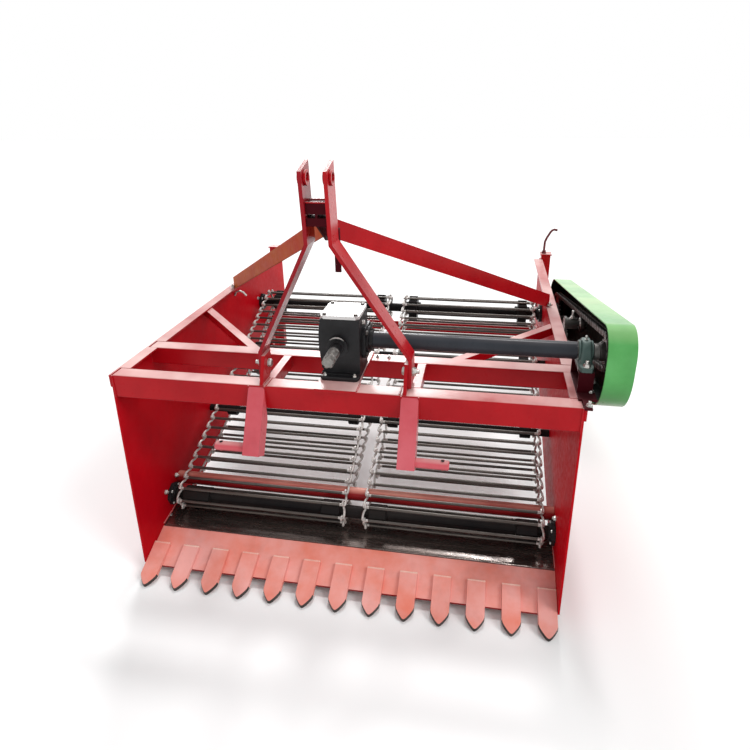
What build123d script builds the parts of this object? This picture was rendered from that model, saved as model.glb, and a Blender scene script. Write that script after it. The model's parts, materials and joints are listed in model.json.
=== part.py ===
from build123d import *

import os
from math import acos, atan2, cos, degrees, hypot, pi, sin, tan

os.makedirs("parts", exist_ok=True)

# Tractor-mounted potato digger: a toothed blade lifts the ridge onto two hooked-rod webs, which
# shake the soil out and drop the crop behind. A gearbox on the frame drives the webs by a chain.
#
# Millimetres. +X is the machine's right, +Y its rear, +Z up, and z = 0 is the ground. Depths in the
# values below run rearward from the front face of the front beam.

# ---- Frame ----
width = 1400  # over the side plates
plate_t = 6
plate_top = 744
plate_rear = 1590
plate_nose = (-26, 36)  # depth and height of the plates' lower front corner
plate_belly = (300, 50)
plate_tail_z = 440
rail_leg = 40
rail_t = 6
beam_top = 750
front_beam_d, front_beam_h = 55, 75
second_beam_y, second_beam_d, second_beam_h = 219, 55, 60
stringer_w, stringer_h = 25, 40
stringer_left_x, stringer_right_x = -202, 238
brace_w, brace_h = 30, 30
brace_rail_y, brace_beam_x = 672, 316  # where the corner braces meet the plates and the second beam
tail_tube, tail_tube_y, tail_tube_z = 50, 1350, 400
nose_tube_r, nose_tube_y, nose_tube_z = 24, 262, 190
touch = 0.3  # gap left between round faces and between parts that only lie together

# ---- Blade ----
blade_t = 10
blade_front = (-25, 30)  # depth and height of the blade's top front edge
blade_rear = (107, 84)
tooth_count = 13
tooth_w, tooth_t, tooth_point = 60, 12, 46
tooth_tip_y = -98
tooth_rear_y = 58
apron_t = 5
apron_rear = (235, 102)

# ---- Hitch ----
post_w, post_wall = 50, 5
post_x = 227  # middle of each lower post
post_top_z = 745
post_foot = (-97, 569)  # depth and height of the lower front corner
pin_r, pin_len, pin_up = 14, 95, 21
mast_bar_w, mast_bar_t = 70, 10
mast_foot_x, mast_head_x = 227, 37  # outer faces of the two bars
mast_foot = (30, 757)  # front edge of the bar at its foot, its two bends and its head
mast_low_bend = (39, 840)
mast_high_bend = (-52, 1187)
mast_head = (-72, 1368)
mast_head_rise = 21
top_hole_r, top_hole_down = 13, 18  # down from the front corner of the head
spacer_front, spacer_d = -53, 50
spacer_rows = ((1278, 28), (1244, 20))  # height of the middle, height of the block
gusset_t = 6  # upright plate between the bars, which the two back braces meet
gusset = ((-53, 1236), (-53, 1292), (12, 1292), (62, 1246), (62, 1180), (30, 1180))
strap_w, strap_t, strap_foot_z, strap_head_z = 16, 6, 1096, 1215  # hangs behind the right bar
strap_x = mast_head_x - 2 * mast_bar_t + 13  # clear of the bar where it spreads
lug_t, lug_h = 10, 80
back_brace_leg, back_brace_shelf, back_brace_t = 50, 30, 5
back_brace_head = (25, 1248)  # depth and height of the upper edge at the gusset
back_brace_foot_x, back_brace_seat = width / 2 - 24, 16
back_brace_foot_y = {"left": 895, "right": 825}

# ---- Gearbox and drive ----
box_x, box_y = 12.5, 137.5  # middle of the gearbox
box_w, box_d = 115, 123
box_base_t = 8
box_plate_w, box_plate_front = 122, -11
box_top = 950
box_foot_h, box_foot_front, box_corner = 16, 60, 10
box_waist_x, box_bulge_x, box_shoulder_x = -40, -52, -45  # left side at its foot, middle and top
cover_t = 10
input_x, input_z = 6, 858
stub_r, stub_tip_y = 17.5, -45
journal_r = 21
stub_boss_r, stub_boss_l = 31, 12
drive_y, drive_z = 150, 853  # axis of the gearbox output shaft
output_shaft_r = 15
tube_r, tube_wall, tube_end_x = 25, 4, width / 2 - 16
flange_side, flange_corner, flange_t = 96, 16, 12
neck_r, neck_l = 32, 16
bearing_x, bearing_w, bearing_l = width / 2 + 7, 42, 140
bearing_base_z, bearing_base_h, bearing_dome_r, bearing_flank = 816, 14, 35, 50
collar_r, collar_x, collar_l = 23, width / 2 + 30, 14
shaft_past = 25  # how far the two shafts stand past the middle of their sprockets
shelf_t, shelf_right = 6, width / 2 + 35
shelf_front, shelf_rear, shelf_edge_h, shelf_drop = 40, 222, 12, 70
shelf_tab_w, shelf_tab_front = 21, -12
sprocket_x, sprocket_t, sprocket_sides = width / 2 + 66, 11, 28
small_pitch_r, large_pitch_r = 49, 97
chain_h, chain_w = 18, 22
tensioner_y, tensioner_r, tensioner_boss_r, tensioner_boss_x = 600, 28, 20, width / 2 + 50
tensioner_plate_w, tensioner_plate_t = 50, 8
tensioner_bolt_r = 10
guard_inner_x, guard_outer_x, guard_t = width / 2 + 42, width / 2 + 115, 3
# Depth, height and radius of the guard's round corners: top front, rear, bottom front.
guard_corners = [(94, 884, 72), (1240, 566, 165), (172, 840, 150)]
guard_stud_r = 10
guard_stud_y = (760, 1080)

# ---- Rod webs ----
# What repeats or stands out of sight is many-sided instead of round.
web_gap_left, web_gap_right = -20, 38  # inner edges of the left and the right web
web_outer = 660
rod_r, rod_sides = 5.25, 6
rod_pitch = 47.5
hook_t, hook_h, hook_over = 6, 14, 8  # one hooked end: width along X, height, length past the rod
nose_y, nose_z = 200, 160
web_drive_y, web_drive_z = 1240, 566
idler_y, idler_z = 735, 293
nose_r, idler_r = 35, 30
star_teeth, star_tooth_h = 7, 12
nose_shaft_r, web_shaft_r, idler_shaft_r = 22, 20, 14
sleeve_x = ((-646, -536), (-111, -34), (52, 123), (566, 641))
roller_w = 40
roller_sides, round_sides = 12, 20
carrier_y = (560, 900)
carrier_r = 25
flange_unit_r, flange_unit_sides, flange_unit_t, hub_r, hub_l = 42, 8, 12, 30, 22

# ---- Rear wheels ----
post_side, rear_post_wall = 45, 4.5
rear_post_top, rear_post_foot = 770, 440
cap_t, cap_over = 6, 5
wheel_r, tyre_w, rim_r = 205, 105, 110
wheel_sides = 32
shoulder = 22
rim_w, rim_t, disc_t = 84, 6, 8
wheel_hub_r, wheel_hub_l = 29, 76
wheel_clear = 16
axle_r, axle_end = 15, 40
leg_clear = 0.3
crank_r, crank_in = 7, 10  # the crank stands a little inward of the middle of its post
crank_path = ((0, 0), (0, 62), (31, 122), (56, 118))  # sideways and up from the top of the post

# ---- Worked out from the above ----
star_r = rod_pitch * star_teeth / (2 * pi) - rod_r - touch  # the rods sit on the star wheels at their pitch
half = width / 2
inner = half - plate_t
rear_post_y = plate_rear - post_side / 2
box_bottom = beam_top + box_base_t
post_lean = atan2(-post_foot[0], post_top_z - post_foot[1])
blade_slope = atan2(blade_rear[1] - blade_front[1], blade_rear[0] - blade_front[0])
foremost = tooth_tip_y - tooth_t * sin(blade_slope)
rearmost = rear_post_y + wheel_r
beam_y = -(foremost + rearmost) / 2  # puts the origin on the ground under the middle of the machine


def side(x):
    """A plane looking along X: its own axes are depth and height."""
    return Plane(origin=(x, beam_y, 0), x_dir=(0, 1, 0), z_dir=(1, 0, 0))


def front(y):
    """A plane across the machine: its own axes are X and height, and it faces forward."""
    return Plane(origin=(0, beam_y + y, 0), x_dir=(1, 0, 0), z_dir=(0, -1, 0))


def top(z):
    """A level plane: its own axes are X and depth."""
    return Plane(origin=(0, beam_y, z))


def write(builder, name):
    builder.part.label = name
    export_step(builder.part, f"parts/{name}.step")


# ---------------------------------------------------------------- frame
for name, x in (("side_plate_left", -half), ("side_plate_right", inner)):
    with BuildPart() as side_plate:
        with BuildSketch(side(x)):
            Polygon(
                plate_nose, (0, plate_top), (plate_rear, plate_top), (plate_rear, plate_tail_z), plate_belly,
                align=None,
            )
            if x > 0:
                with Locations((web_drive_y, web_drive_z)):
                    Circle(web_shaft_r + 5, mode=Mode.SUBTRACT)
        extrude(amount=plate_t)
    write(side_plate, name)

rail_out = half + rail_t
rail_end = plate_rear - post_side
for name, sign in (("top_rail_left", -1), ("top_rail_right", 1)):
    with BuildPart() as top_rail:
        with BuildSketch(front(0)):
            with Locations((sign * (rail_out - rail_leg / 2), beam_top - rail_t / 2)):
                Rectangle(rail_leg, rail_t)
            with Locations((sign * (rail_out - rail_t / 2), beam_top - rail_leg / 2)):
                Rectangle(rail_t, rail_leg)
        extrude(amount=-rail_end)
        # The level leg is cut away where the two beams run through to the plates.
        with BuildSketch(top(beam_top)):
            with Locations((sign * (half - 25), front_beam_d / 2)):
                Rectangle(50, front_beam_d)
            with Locations((sign * (half - 25), second_beam_y + second_beam_d / 2)):
                Rectangle(50, second_beam_d)
        extrude(amount=-rail_leg, mode=Mode.SUBTRACT)
    write(top_rail, name)

with BuildPart() as front_beam:
    with BuildSketch(side(-inner)):
        with Locations((front_beam_d / 2, beam_top - front_beam_h / 2)):
            RectangleRounded(front_beam_d, front_beam_h, 4)
    extrude(amount=2 * inner)
write(front_beam, "front_beam")

with BuildPart() as second_beam:
    with BuildSketch(side(-inner)):
        with Locations((second_beam_y + second_beam_d / 2, beam_top - second_beam_h / 2)):
            RectangleRounded(second_beam_d, second_beam_h, 4)
    extrude(amount=2 * inner)
write(second_beam, "second_beam")

with BuildPart() as beam_stringers:
    with BuildSketch(front(front_beam_d)):
        with Locations(*[(x, beam_top - stringer_h / 2) for x in (stringer_left_x, stringer_right_x)]):
            Rectangle(stringer_w, stringer_h)
    extrude(amount=-(second_beam_y - front_beam_d))
write(beam_stringers, "beam_stringers")

beam_back = second_beam_y + second_beam_d
brace_run = (inner - brace_beam_x, brace_rail_y - beam_back)
brace_cut = brace_w / (brace_run[1] / hypot(*brace_run))  # width of the brace measured along the beam
brace_end = brace_w / (brace_run[0] / hypot(*brace_run))
with BuildPart() as corner_braces:
    with BuildSketch(top(plate_top - brace_h)):
        for sign in (-1, 1):
            Polygon(
                (sign * brace_beam_x, beam_back),
                (sign * (brace_beam_x + brace_cut), beam_back),
                (sign * inner, brace_rail_y - brace_end),
                (sign * inner, brace_rail_y),
                align=None,
            )
    extrude(amount=brace_h)
write(corner_braces, "corner_braces")

with BuildPart() as nose_cross_tube:
    with BuildSketch(side(-inner)):
        with Locations((nose_tube_y, nose_tube_z)):
            Circle(nose_tube_r)
    extrude(amount=2 * inner)
write(nose_cross_tube, "nose_cross_tube")

with BuildPart() as tail_cross_tube:
    with BuildSketch(side(-inner)):
        with Locations((tail_tube_y + tail_tube / 2, tail_tube_z + tail_tube / 2)):
            RectangleRounded(tail_tube, tail_tube, 4)
    extrude(amount=2 * inner)
write(tail_cross_tube, "tail_cross_tube")

# ---------------------------------------------------------------- blade
blade_len = hypot(blade_rear[0] - blade_front[0], blade_rear[1] - blade_front[1])
tooth_tip_z = blade_front[1] + (tooth_tip_y - blade_front[0]) * tan(blade_slope)
lift = -tooth_tip_z  # brings the tips down onto the ground
blade_plane = Plane(
    origin=(0, beam_y + blade_front[0], blade_front[1] + lift),
    x_dir=(1, 0, 0),
    z_dir=(0, -sin(blade_slope), cos(blade_slope)),
)

with BuildPart() as digging_blade:
    with BuildSketch(blade_plane):
        Rectangle(2 * inner, blade_len, align=(Align.CENTER, Align.MIN))
    extrude(amount=-blade_t)
write(digging_blade, "digging_blade")

tooth_pitch = (2 * inner - tooth_w) / (tooth_count - 1)
tip_down = (tooth_tip_y - blade_front[0]) / cos(blade_slope)
tooth_up = (tooth_rear_y - blade_front[0]) / cos(blade_slope)
with BuildPart() as blade_teeth:
    with BuildSketch(blade_plane):
        for i in range(tooth_count):
            with Locations(((i - (tooth_count - 1) / 2) * tooth_pitch, 0)):
                Polygon(
                    (0, tip_down),
                    (tooth_w / 2, tip_down + tooth_point),
                    (tooth_w / 2, tooth_up),
                    (-tooth_w / 2, tooth_up),
                    (-tooth_w / 2, tip_down + tooth_point),
                    align=None,
                )
    extrude(amount=tooth_t)
write(blade_teeth, "blade_teeth")

apron_front = (blade_rear[0] + blade_t * sin(blade_slope) + touch, blade_rear[1] + lift)
with BuildPart() as apron_plate:
    with BuildSketch(side(-inner)):
        Polygon(
            apron_front,
            apron_rear,
            (apron_rear[0], apron_rear[1] - apron_t),
            (apron_front[0], apron_front[1] - apron_t),
            align=None,
        )
    extrude(amount=2 * inner)
write(apron_plate, "apron_plate")

# ---------------------------------------------------------------- hitch
down = (-sin(post_lean), -cos(post_lean))  # along the post
back = (cos(post_lean), -sin(post_lean))  # from its front face to its rear face


def on_post(across, along):
    """A point from the lower front corner: back across the post, then down along it."""
    return (
        post_foot[0] + across * back[0] + along * down[0],
        post_foot[1] + across * back[1] + along * down[1],
    )


post_outline = (
    (0, post_top_z),
    post_foot,
    on_post(post_w, 0),
    (0, post_top_z - post_w / sin(post_lean)),
)
post_bore = (
    (0, post_top_z - post_wall / sin(post_lean)),
    on_post(post_wall, 2),
    on_post(post_w - post_wall, 2),
    (0, post_top_z - (post_w - post_wall) / sin(post_lean)),
)
for name, x in (("hitch_post_left", -post_x), ("hitch_post_right", post_x)):
    with BuildPart() as hitch_post:
        with BuildSketch(side(x - post_w / 2)):
            Polygon(*post_outline, align=None)
        extrude(amount=post_w)
        with BuildSketch(side(x - post_w / 2 + post_wall)):
            Polygon(*post_bore, align=None)
        extrude(amount=post_w - 2 * post_wall, mode=Mode.SUBTRACT)
    write(hitch_post, name)

pin_centre = on_post(post_w / 2, -pin_up)
for name, x in (("hitch_pin_left", -post_x - post_w / 2 - pin_len), ("hitch_pin_right", post_x + post_w / 2)):
    with BuildPart() as hitch_pin:
        with BuildSketch(side(x)):
            with Locations(pin_centre):
                Circle(pin_r)
        extrude(amount=pin_len)
    write(hitch_pin, name)

mast_side = (
    mast_foot,
    mast_low_bend,
    mast_high_bend,
    mast_head,
    (mast_head[0] + mast_bar_w, mast_head[1] + mast_head_rise),
    (mast_high_bend[0] + mast_bar_w, mast_high_bend[1]),
    (mast_low_bend[0] + mast_bar_w, mast_low_bend[1]),
    (mast_foot[0] + mast_bar_w, mast_foot[1]),
)
mast_top = mast_head[1] + mast_head_rise
bend_drop = mast_bar_t * tan(atan2(mast_foot_x - mast_head_x, mast_high_bend[1] - mast_low_bend[1]) / 2)
for name, sign in (("mast_bar_left", -1), ("mast_bar_right", 1)):
    with BuildPart() as mast_bar:
        with BuildSketch(side(0)):
            Polygon(*mast_side, align=None)
        extrude(amount=sign * width)
        with BuildSketch(front(-width)):
            Polygon(
                (sign * mast_foot_x, mast_foot[1]),
                (sign * mast_foot_x, mast_low_bend[1]),
                (sign * mast_head_x, mast_high_bend[1]),
                (sign * mast_head_x, mast_top),
                (sign * (mast_head_x - mast_bar_t), mast_top),
                (sign * (mast_head_x - mast_bar_t), mast_high_bend[1] - bend_drop),
                (sign * (mast_foot_x - mast_bar_t), mast_low_bend[1] - bend_drop),
                (sign * (mast_foot_x - mast_bar_t), mast_foot[1]),
                align=None,
            )
        extrude(amount=-2 * width, mode=Mode.INTERSECT)
        with BuildSketch(side(0)):
            with Locations((mast_head[0] + mast_bar_w / 2, mast_head[1] - top_hole_down)):
                Circle(top_hole_r)
        extrude(amount=sign * mast_foot_x, mode=Mode.SUBTRACT)
    write(mast_bar, name)

spacer_w = 2 * (mast_head_x - mast_bar_t)
bar_back = mast_high_bend[0] + mast_bar_w
head_lean = (mast_head[0] - mast_high_bend[0]) / (mast_top - mast_high_bend[1])
with BuildPart() as mast_spacers:
    for z, h in spacer_rows:
        with BuildSketch(side(-spacer_w / 2)):
            with Locations((spacer_front + spacer_d / 2, z)):
                Rectangle(spacer_d, h)
        extrude(amount=spacer_w)
    with BuildSketch(side(-gusset_t / 2)):
        Polygon(*gusset, align=None)
    extrude(amount=gusset_t)
    with BuildSketch(side(strap_x - strap_w / 2)):
        Polygon(
            (bar_back, mast_high_bend[1]),
            (bar_back + head_lean * (strap_head_z - mast_high_bend[1]), strap_head_z),
            (bar_back + 2 * strap_t, strap_head_z),
            (bar_back + 2 * strap_t, strap_foot_z),
            (bar_back + strap_t, strap_foot_z),
            (bar_back + strap_t, mast_high_bend[1]),
            align=None,
        )
    extrude(amount=strap_w)
write(mast_spacers, "mast_spacers")

with BuildPart() as mast_lugs:
    for sign in (-1, 1):
        with BuildSketch(side(sign * (mast_foot_x - mast_bar_t))):
            Polygon(
                (0, beam_top), (front_beam_d, beam_top), (85, beam_top + 25), (85, beam_top + lug_h),
                (35, beam_top + lug_h), align=None,
            )
        extrude(amount=-sign * lug_t)
write(mast_lugs, "mast_lugs")

# Each brace is an angle: an upright leg, and a shelf along its lower edge that points inward.
for word, sign in (("left", -1), ("right", 1)):
    head = Vector(sign * gusset_t / 2, beam_y + back_brace_head[0], 0)
    along = Vector(sign * back_brace_foot_x, beam_y + back_brace_foot_y[word], 0) - head
    run = along.length
    upright = Plane(origin=head, x_dir=along, z_dir=along.cross(Vector(0, 0, 1)))
    pitch = atan2(back_brace_head[1] - back_brace_leg - beam_top, run)
    plumb = back_brace_leg / cos(pitch)
    foot_in = run - back_brace_seat
    fall = (back_brace_head[1] - plumb - beam_top) / foot_in
    with BuildPart() as back_brace:
        for tall, wide in ((plumb, back_brace_t), (back_brace_t / cos(pitch), back_brace_shelf)):
            with BuildSketch(upright):
                Polygon(
                    (0, beam_top + fall * foot_in + tall),
                    (run, beam_top + tall - fall * back_brace_seat),
                    (run, beam_top),
                    (foot_in, beam_top),
                    (0, beam_top + fall * foot_in),
                    align=None,
                )
            extrude(amount=-sign * wide)
        split(
            bisect_by=Plane.YZ.offset(sign * gusset_t / 2),
            keep=Keep.TOP if sign > 0 else Keep.BOTTOM,
        )
    write(back_brace, f"back_brace_{word}")

# ---------------------------------------------------------------- gearbox and chain drive
with BuildPart() as gearbox_base_plate:
    with BuildSketch(top(beam_top)):
        with Locations((box_x, (box_plate_front + beam_back) / 2)):
            Rectangle(box_plate_w, beam_back - box_plate_front)
    extrude(amount=box_base_t)
write(gearbox_base_plate, "gearbox_base_plate")

box_front = box_y - box_d / 2
box_right = box_x + box_w / 2
box_rear = box_y + box_d / 2
box_foot_top = box_bottom + box_foot_h
box_neck = (box_foot_top + box_top - cover_t) / 2
with BuildPart() as gearbox_housing:
    with BuildSketch(top(box_bottom)) as box_foot:
        with Locations((box_x, (box_foot_front + box_rear) / 2)):
            Rectangle(box_w, box_rear - box_foot_front)
        chamfer(box_foot.vertices(), box_corner)
    extrude(amount=box_foot_h)
    with BuildSketch(front(box_front)):
        with BuildLine():
            Line((box_right, box_foot_top), (box_right, box_top - cover_t))
            Line((box_right, box_top - cover_t), (box_shoulder_x, box_top - cover_t))
            ThreePointArc(
                (box_shoulder_x, box_top - cover_t), (box_bulge_x, box_neck), (box_waist_x, box_foot_top)
            )
            Line((box_waist_x, box_foot_top), (box_right, box_foot_top))
        make_face()
    extrude(amount=-box_d)
    with BuildSketch(front(box_front)):
        with Locations((input_x, input_z)):
            Circle(stub_boss_r)
            Circle(journal_r + touch, mode=Mode.SUBTRACT)
    extrude(amount=stub_boss_l)
write(gearbox_housing, "gearbox_housing")

with BuildPart() as gearbox_cover:
    with BuildSketch(top(box_top - cover_t)) as cover_outline:
        with Locations((box_x, box_y)):
            Rectangle(box_w, box_d)
        chamfer(cover_outline.vertices(), box_corner)
    extrude(amount=cover_t)
write(gearbox_cover, "gearbox_cover")

with BuildPart() as pto_shaft:
    with BuildSketch(front(box_front)):
        with Locations((input_x, input_z)):
            Circle(journal_r)
    extrude(amount=stub_boss_l)
    with BuildSketch(front(box_front - stub_boss_l)):
        with Locations((input_x, input_z)):
            Circle(stub_r)
    extrude(amount=box_front - stub_boss_l - stub_tip_y)
write(pto_shaft, "pto_shaft")

with BuildPart() as output_flange:
    with BuildSketch(side(box_right)) as flange_outline:
        with Locations((drive_y, drive_z)):
            Rectangle(flange_side, flange_side)
        chamfer(flange_outline.vertices(), flange_corner)
    extrude(amount=flange_t)
    with BuildSketch(side(box_right)):
        with Locations((drive_y, drive_z)):
            Circle(neck_r)
    extrude(amount=flange_t + neck_l)
    with BuildSketch(side(box_right)):
        with Locations((drive_y, drive_z)):
            Circle(output_shaft_r + touch)
    extrude(amount=flange_t + neck_l, mode=Mode.SUBTRACT)
write(output_flange, "output_flange")

tube_start_x = box_right + flange_t + neck_l
with BuildPart() as shaft_tube:
    with BuildSketch(side(tube_start_x)):
        with Locations((drive_y, drive_z)):
            Circle(tube_r)
            Circle(tube_r - tube_wall, mode=Mode.SUBTRACT)
    extrude(amount=tube_end_x - tube_start_x)
write(shaft_tube, "shaft_tube")

with BuildPart() as output_shaft:
    for x0, length, radius in (
        (box_right, sprocket_x + shaft_past - box_right, output_shaft_r),
        (collar_x, collar_l, collar_r),
    ):
        with BuildSketch(side(x0)):
            with Locations((drive_y, drive_z)):
                Circle(radius)
        extrude(amount=length)
write(output_shaft, "output_shaft")

# The outer bearing's stand is a box on the rail, on a ledge with a gusset below it.
bearing_left = bearing_x - bearing_w / 2
stand_h = bearing_base_z - beam_top
with BuildPart() as bearing_shelf:
    with BuildSketch(top(beam_top)):
        with Locations(((bearing_left + shelf_right) / 2, (shelf_front + shelf_rear) / 2)):
            Rectangle(shelf_right - bearing_left, shelf_rear - shelf_front)
        with Locations((rail_out, (shelf_tab_front + shelf_front) / 2)):
            Rectangle(shelf_tab_w, shelf_front - shelf_tab_front)
    extrude(amount=shelf_t)
    with BuildSketch(side(rail_out)):
        Polygon(
            (shelf_front, beam_top),
            (shelf_rear, beam_top),
            (shelf_rear, beam_top - shelf_edge_h),
            (drive_y, beam_top - shelf_drop),
            (shelf_front, beam_top - shelf_edge_h),
            align=None,
        )
    extrude(amount=shelf_t)
    with BuildSketch(side(bearing_left)):
        with Locations((drive_y, beam_top + stand_h / 2)):
            Rectangle(bearing_l, stand_h)
            Rectangle(bearing_l - 2 * shelf_t, stand_h - 2 * shelf_t, mode=Mode.SUBTRACT)
    extrude(amount=bearing_w)
write(bearing_shelf, "bearing_shelf")

with BuildPart() as output_bearing:
    with BuildSketch(side(bearing_left)):
        with Locations((drive_y, bearing_base_z + bearing_base_h / 2)):
            Rectangle(bearing_l, bearing_base_h)
        Polygon(
            (drive_y - bearing_flank, bearing_base_z),
            (drive_y - bearing_dome_r, drive_z),
            (drive_y + bearing_dome_r, drive_z),
            (drive_y + bearing_flank, bearing_base_z),
            align=None,
        )
        with Locations((drive_y, drive_z)):
            Circle(bearing_dome_r)
            Circle(output_shaft_r + touch, mode=Mode.SUBTRACT)
    extrude(amount=bearing_w)
write(output_bearing, "output_bearing")

for name, centre, pitch_r, shaft_r in (
    ("drive_sprocket", (drive_y, drive_z), small_pitch_r, output_shaft_r),
    ("driven_sprocket", (web_drive_y, web_drive_z), large_pitch_r, web_shaft_r),
):
    with BuildPart() as sprocket:
        with BuildSketch(side(sprocket_x - sprocket_t / 2)):
            with Locations(centre):
                RegularPolygon(pitch_r - chain_h / 2 - touch, sprocket_sides)
                Circle(shaft_r + touch, mode=Mode.SUBTRACT)
        extrude(amount=sprocket_t)
    write(sprocket, name)


def belt(wheels):
    """Tangent points and normals of a loop round the wheels, (depth, height, radius), clockwise."""
    spans = []
    for (y1, z1, r1), (y2, z2, r2) in zip(wheels, wheels[1:] + wheels[:1]):
        length = hypot(y2 - y1, z2 - z1)
        normal = atan2(z2 - z1, y2 - y1) + acos((r1 - r2) / length)
        start = (y1 + r1 * cos(normal), z1 + r1 * sin(normal))
        end = (y2 + r2 * cos(normal), z2 + r2 * sin(normal))
        spans.append((start, end, normal))
    return spans


def loop_outline(wheels):
    """Draws the loop as lines joined by arcs, inside a BuildLine block."""
    spans = belt(wheels)
    for here, there, wheel in zip(spans, spans[1:] + spans[:1], wheels[1:] + wheels[:1]):
        Line(here[0], here[1])
        turn = (here[2] - there[2]) % (2 * pi)
        middle = here[2] - turn / 2
        y, z, r = wheel
        ThreePointArc(here[1], (y + r * cos(middle), z + r * sin(middle)), there[0])


def under(span, y, drop):
    """Centre of a wheel that lies the given drop below a span of a loop, near the depth y."""
    (y1, z1), (y2, z2), normal = span
    z = z1 + (z2 - z1) * (y - y1) / (y2 - y1)
    return (y - drop * cos(normal), z - drop * sin(normal))


def stations(wheels, pitch):
    """An even number of (depth, height) points, evenly spaced along the loop."""
    spans = belt(wheels)
    pieces = []
    for here, there, wheel in zip(spans, spans[1:] + spans[:1], wheels[1:] + wheels[:1]):
        pieces.append((hypot(here[1][0] - here[0][0], here[1][1] - here[0][1]), here, None))
        pieces.append((wheel[2] * ((here[2] - there[2]) % (2 * pi)), here, wheel))
    total = sum(length for length, here, wheel in pieces)
    count = 2 * round(total / pitch / 2)
    points = []
    for i in range(count):
        s = i * total / count
        for length, here, wheel in pieces:
            if s <= length:
                break
            s -= length
        if wheel is None:
            (y1, z1), (y2, z2) = here[:2]
            points.append((y1 + (y2 - y1) * s / length, z1 + (z2 - z1) * s / length))
        else:
            angle = here[2] - s / wheel[2]
            points.append((wheel[0] + wheel[2] * cos(angle), wheel[1] + wheel[2] * sin(angle)))
    return points


chain_wheels = [(drive_y, drive_z, small_pitch_r), (web_drive_y, web_drive_z, large_pitch_r)]
with BuildPart() as drive_chain:
    with BuildSketch(side(sprocket_x - chain_w / 2)):
        with BuildLine():
            loop_outline([(y, z, r + chain_h / 2) for y, z, r in chain_wheels])
        make_face()
        with BuildLine():
            loop_outline([(y, z, r - chain_h / 2) for y, z, r in chain_wheels])
        make_face(mode=Mode.SUBTRACT)
    extrude(amount=chain_w)
write(drive_chain, "drive_chain")

with BuildPart() as chain_guard:
    with BuildSketch(side(guard_inner_x)):
        with BuildLine():
            loop_outline(guard_corners)
        make_face()
    extrude(amount=guard_outer_x - guard_inner_x)
    with BuildSketch(side(guard_inner_x)):
        with BuildLine():
            loop_outline([(y, z, r - guard_t) for y, z, r in guard_corners])
        make_face()
    extrude(amount=guard_outer_x - guard_inner_x - guard_t, mode=Mode.SUBTRACT)
write(chain_guard, "chain_guard")

with BuildPart() as guard_studs:
    for y in guard_stud_y:
        z = drive_z + (y - drive_y) * (web_drive_z - drive_z) / (web_drive_y - drive_y)
        with BuildSketch(side(half)):
            with Locations((y, z)):
                Circle(guard_stud_r)
        extrude(amount=guard_outer_x - guard_t - half)
write(guard_studs, "guard_studs")

# The tensioner is a bracket on the rail whose wheel bears on the upper run of the chain from below.
tensioner = under(belt(chain_wheels)[0], tensioner_y, chain_h / 2 + touch + tensioner_r)
with BuildPart() as chain_tensioner:
    with BuildSketch(side(rail_out)):
        with Locations((tensioner[0], (beam_top - rail_leg + tensioner[1]) / 2)):
            Rectangle(tensioner_plate_w, tensioner[1] - beam_top + rail_leg)
        with Locations(tensioner):
            Circle(tensioner_plate_w / 2)
    extrude(amount=tensioner_plate_t)
    for x0, x1, radius in (
        (rail_out, tensioner_boss_x, tensioner_boss_r),
        (tensioner_boss_x, sprocket_x + sprocket_t, tensioner_bolt_r),
        (sprocket_x - sprocket_t / 2, sprocket_x + sprocket_t / 2, tensioner_r),
    ):
        with BuildSketch(side(x0)):
            with Locations(tensioner):
                Circle(radius)
        extrude(amount=x1 - x0)
write(chain_tensioner, "chain_tensioner")

# ---------------------------------------------------------------- webs and rollers
web_wheels = [
    (nose_y, nose_z, nose_r + rod_r + touch),
    (web_drive_y, web_drive_z, star_r + rod_r + touch),
    (idler_y, idler_z, idler_r + rod_r + touch),
]
rods = stations(web_wheels, rod_pitch)
hooks = list(zip(rods, rods[1:] + rods[:1]))
# Each rod's ends reach over the next rod, and every second pair lies outside its neighbours.
for name, x0, x1 in (("web_left", -web_outer, web_gap_left), ("web_right", web_gap_right, web_outer)):
    with BuildPart() as web:
        with BuildSketch(side(x0 + 2 * hook_t)):
            with Locations(*rods):
                RegularPolygon(rod_r, rod_sides)
        extrude(amount=x1 - x0 - 4 * hook_t)
        for x, pairs in (
            (x0, hooks[0::2]),
            (x0 + hook_t, hooks[1::2]),
            (x1 - 2 * hook_t, hooks[1::2]),
            (x1 - hook_t, hooks[0::2]),
        ):
            with BuildSketch(side(x)):
                for (y1, z1), (y2, z2) in pairs:
                    with Locations(((y1 + y2) / 2, (z1 + z2) / 2)):
                        Rectangle(
                            hypot(y2 - y1, z2 - z1) + 2 * hook_over, hook_h,
                            rotation=degrees(atan2(z2 - z1, y2 - y1)),
                        )
            extrude(amount=hook_t)
    write(web, name)

with BuildPart() as nose_roller:
    with BuildSketch(side(-inner + touch)):
        with Locations((nose_y, nose_z)):
            RegularPolygon(nose_shaft_r, round_sides)
    extrude(amount=2 * inner - 2 * touch)
    for x0, x1 in sleeve_x:
        with BuildSketch(side(x0)):
            with Locations((nose_y, nose_z)):
                RegularPolygon(nose_r, round_sides)
        extrude(amount=x1 - x0)
write(nose_roller, "nose_roller")

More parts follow.
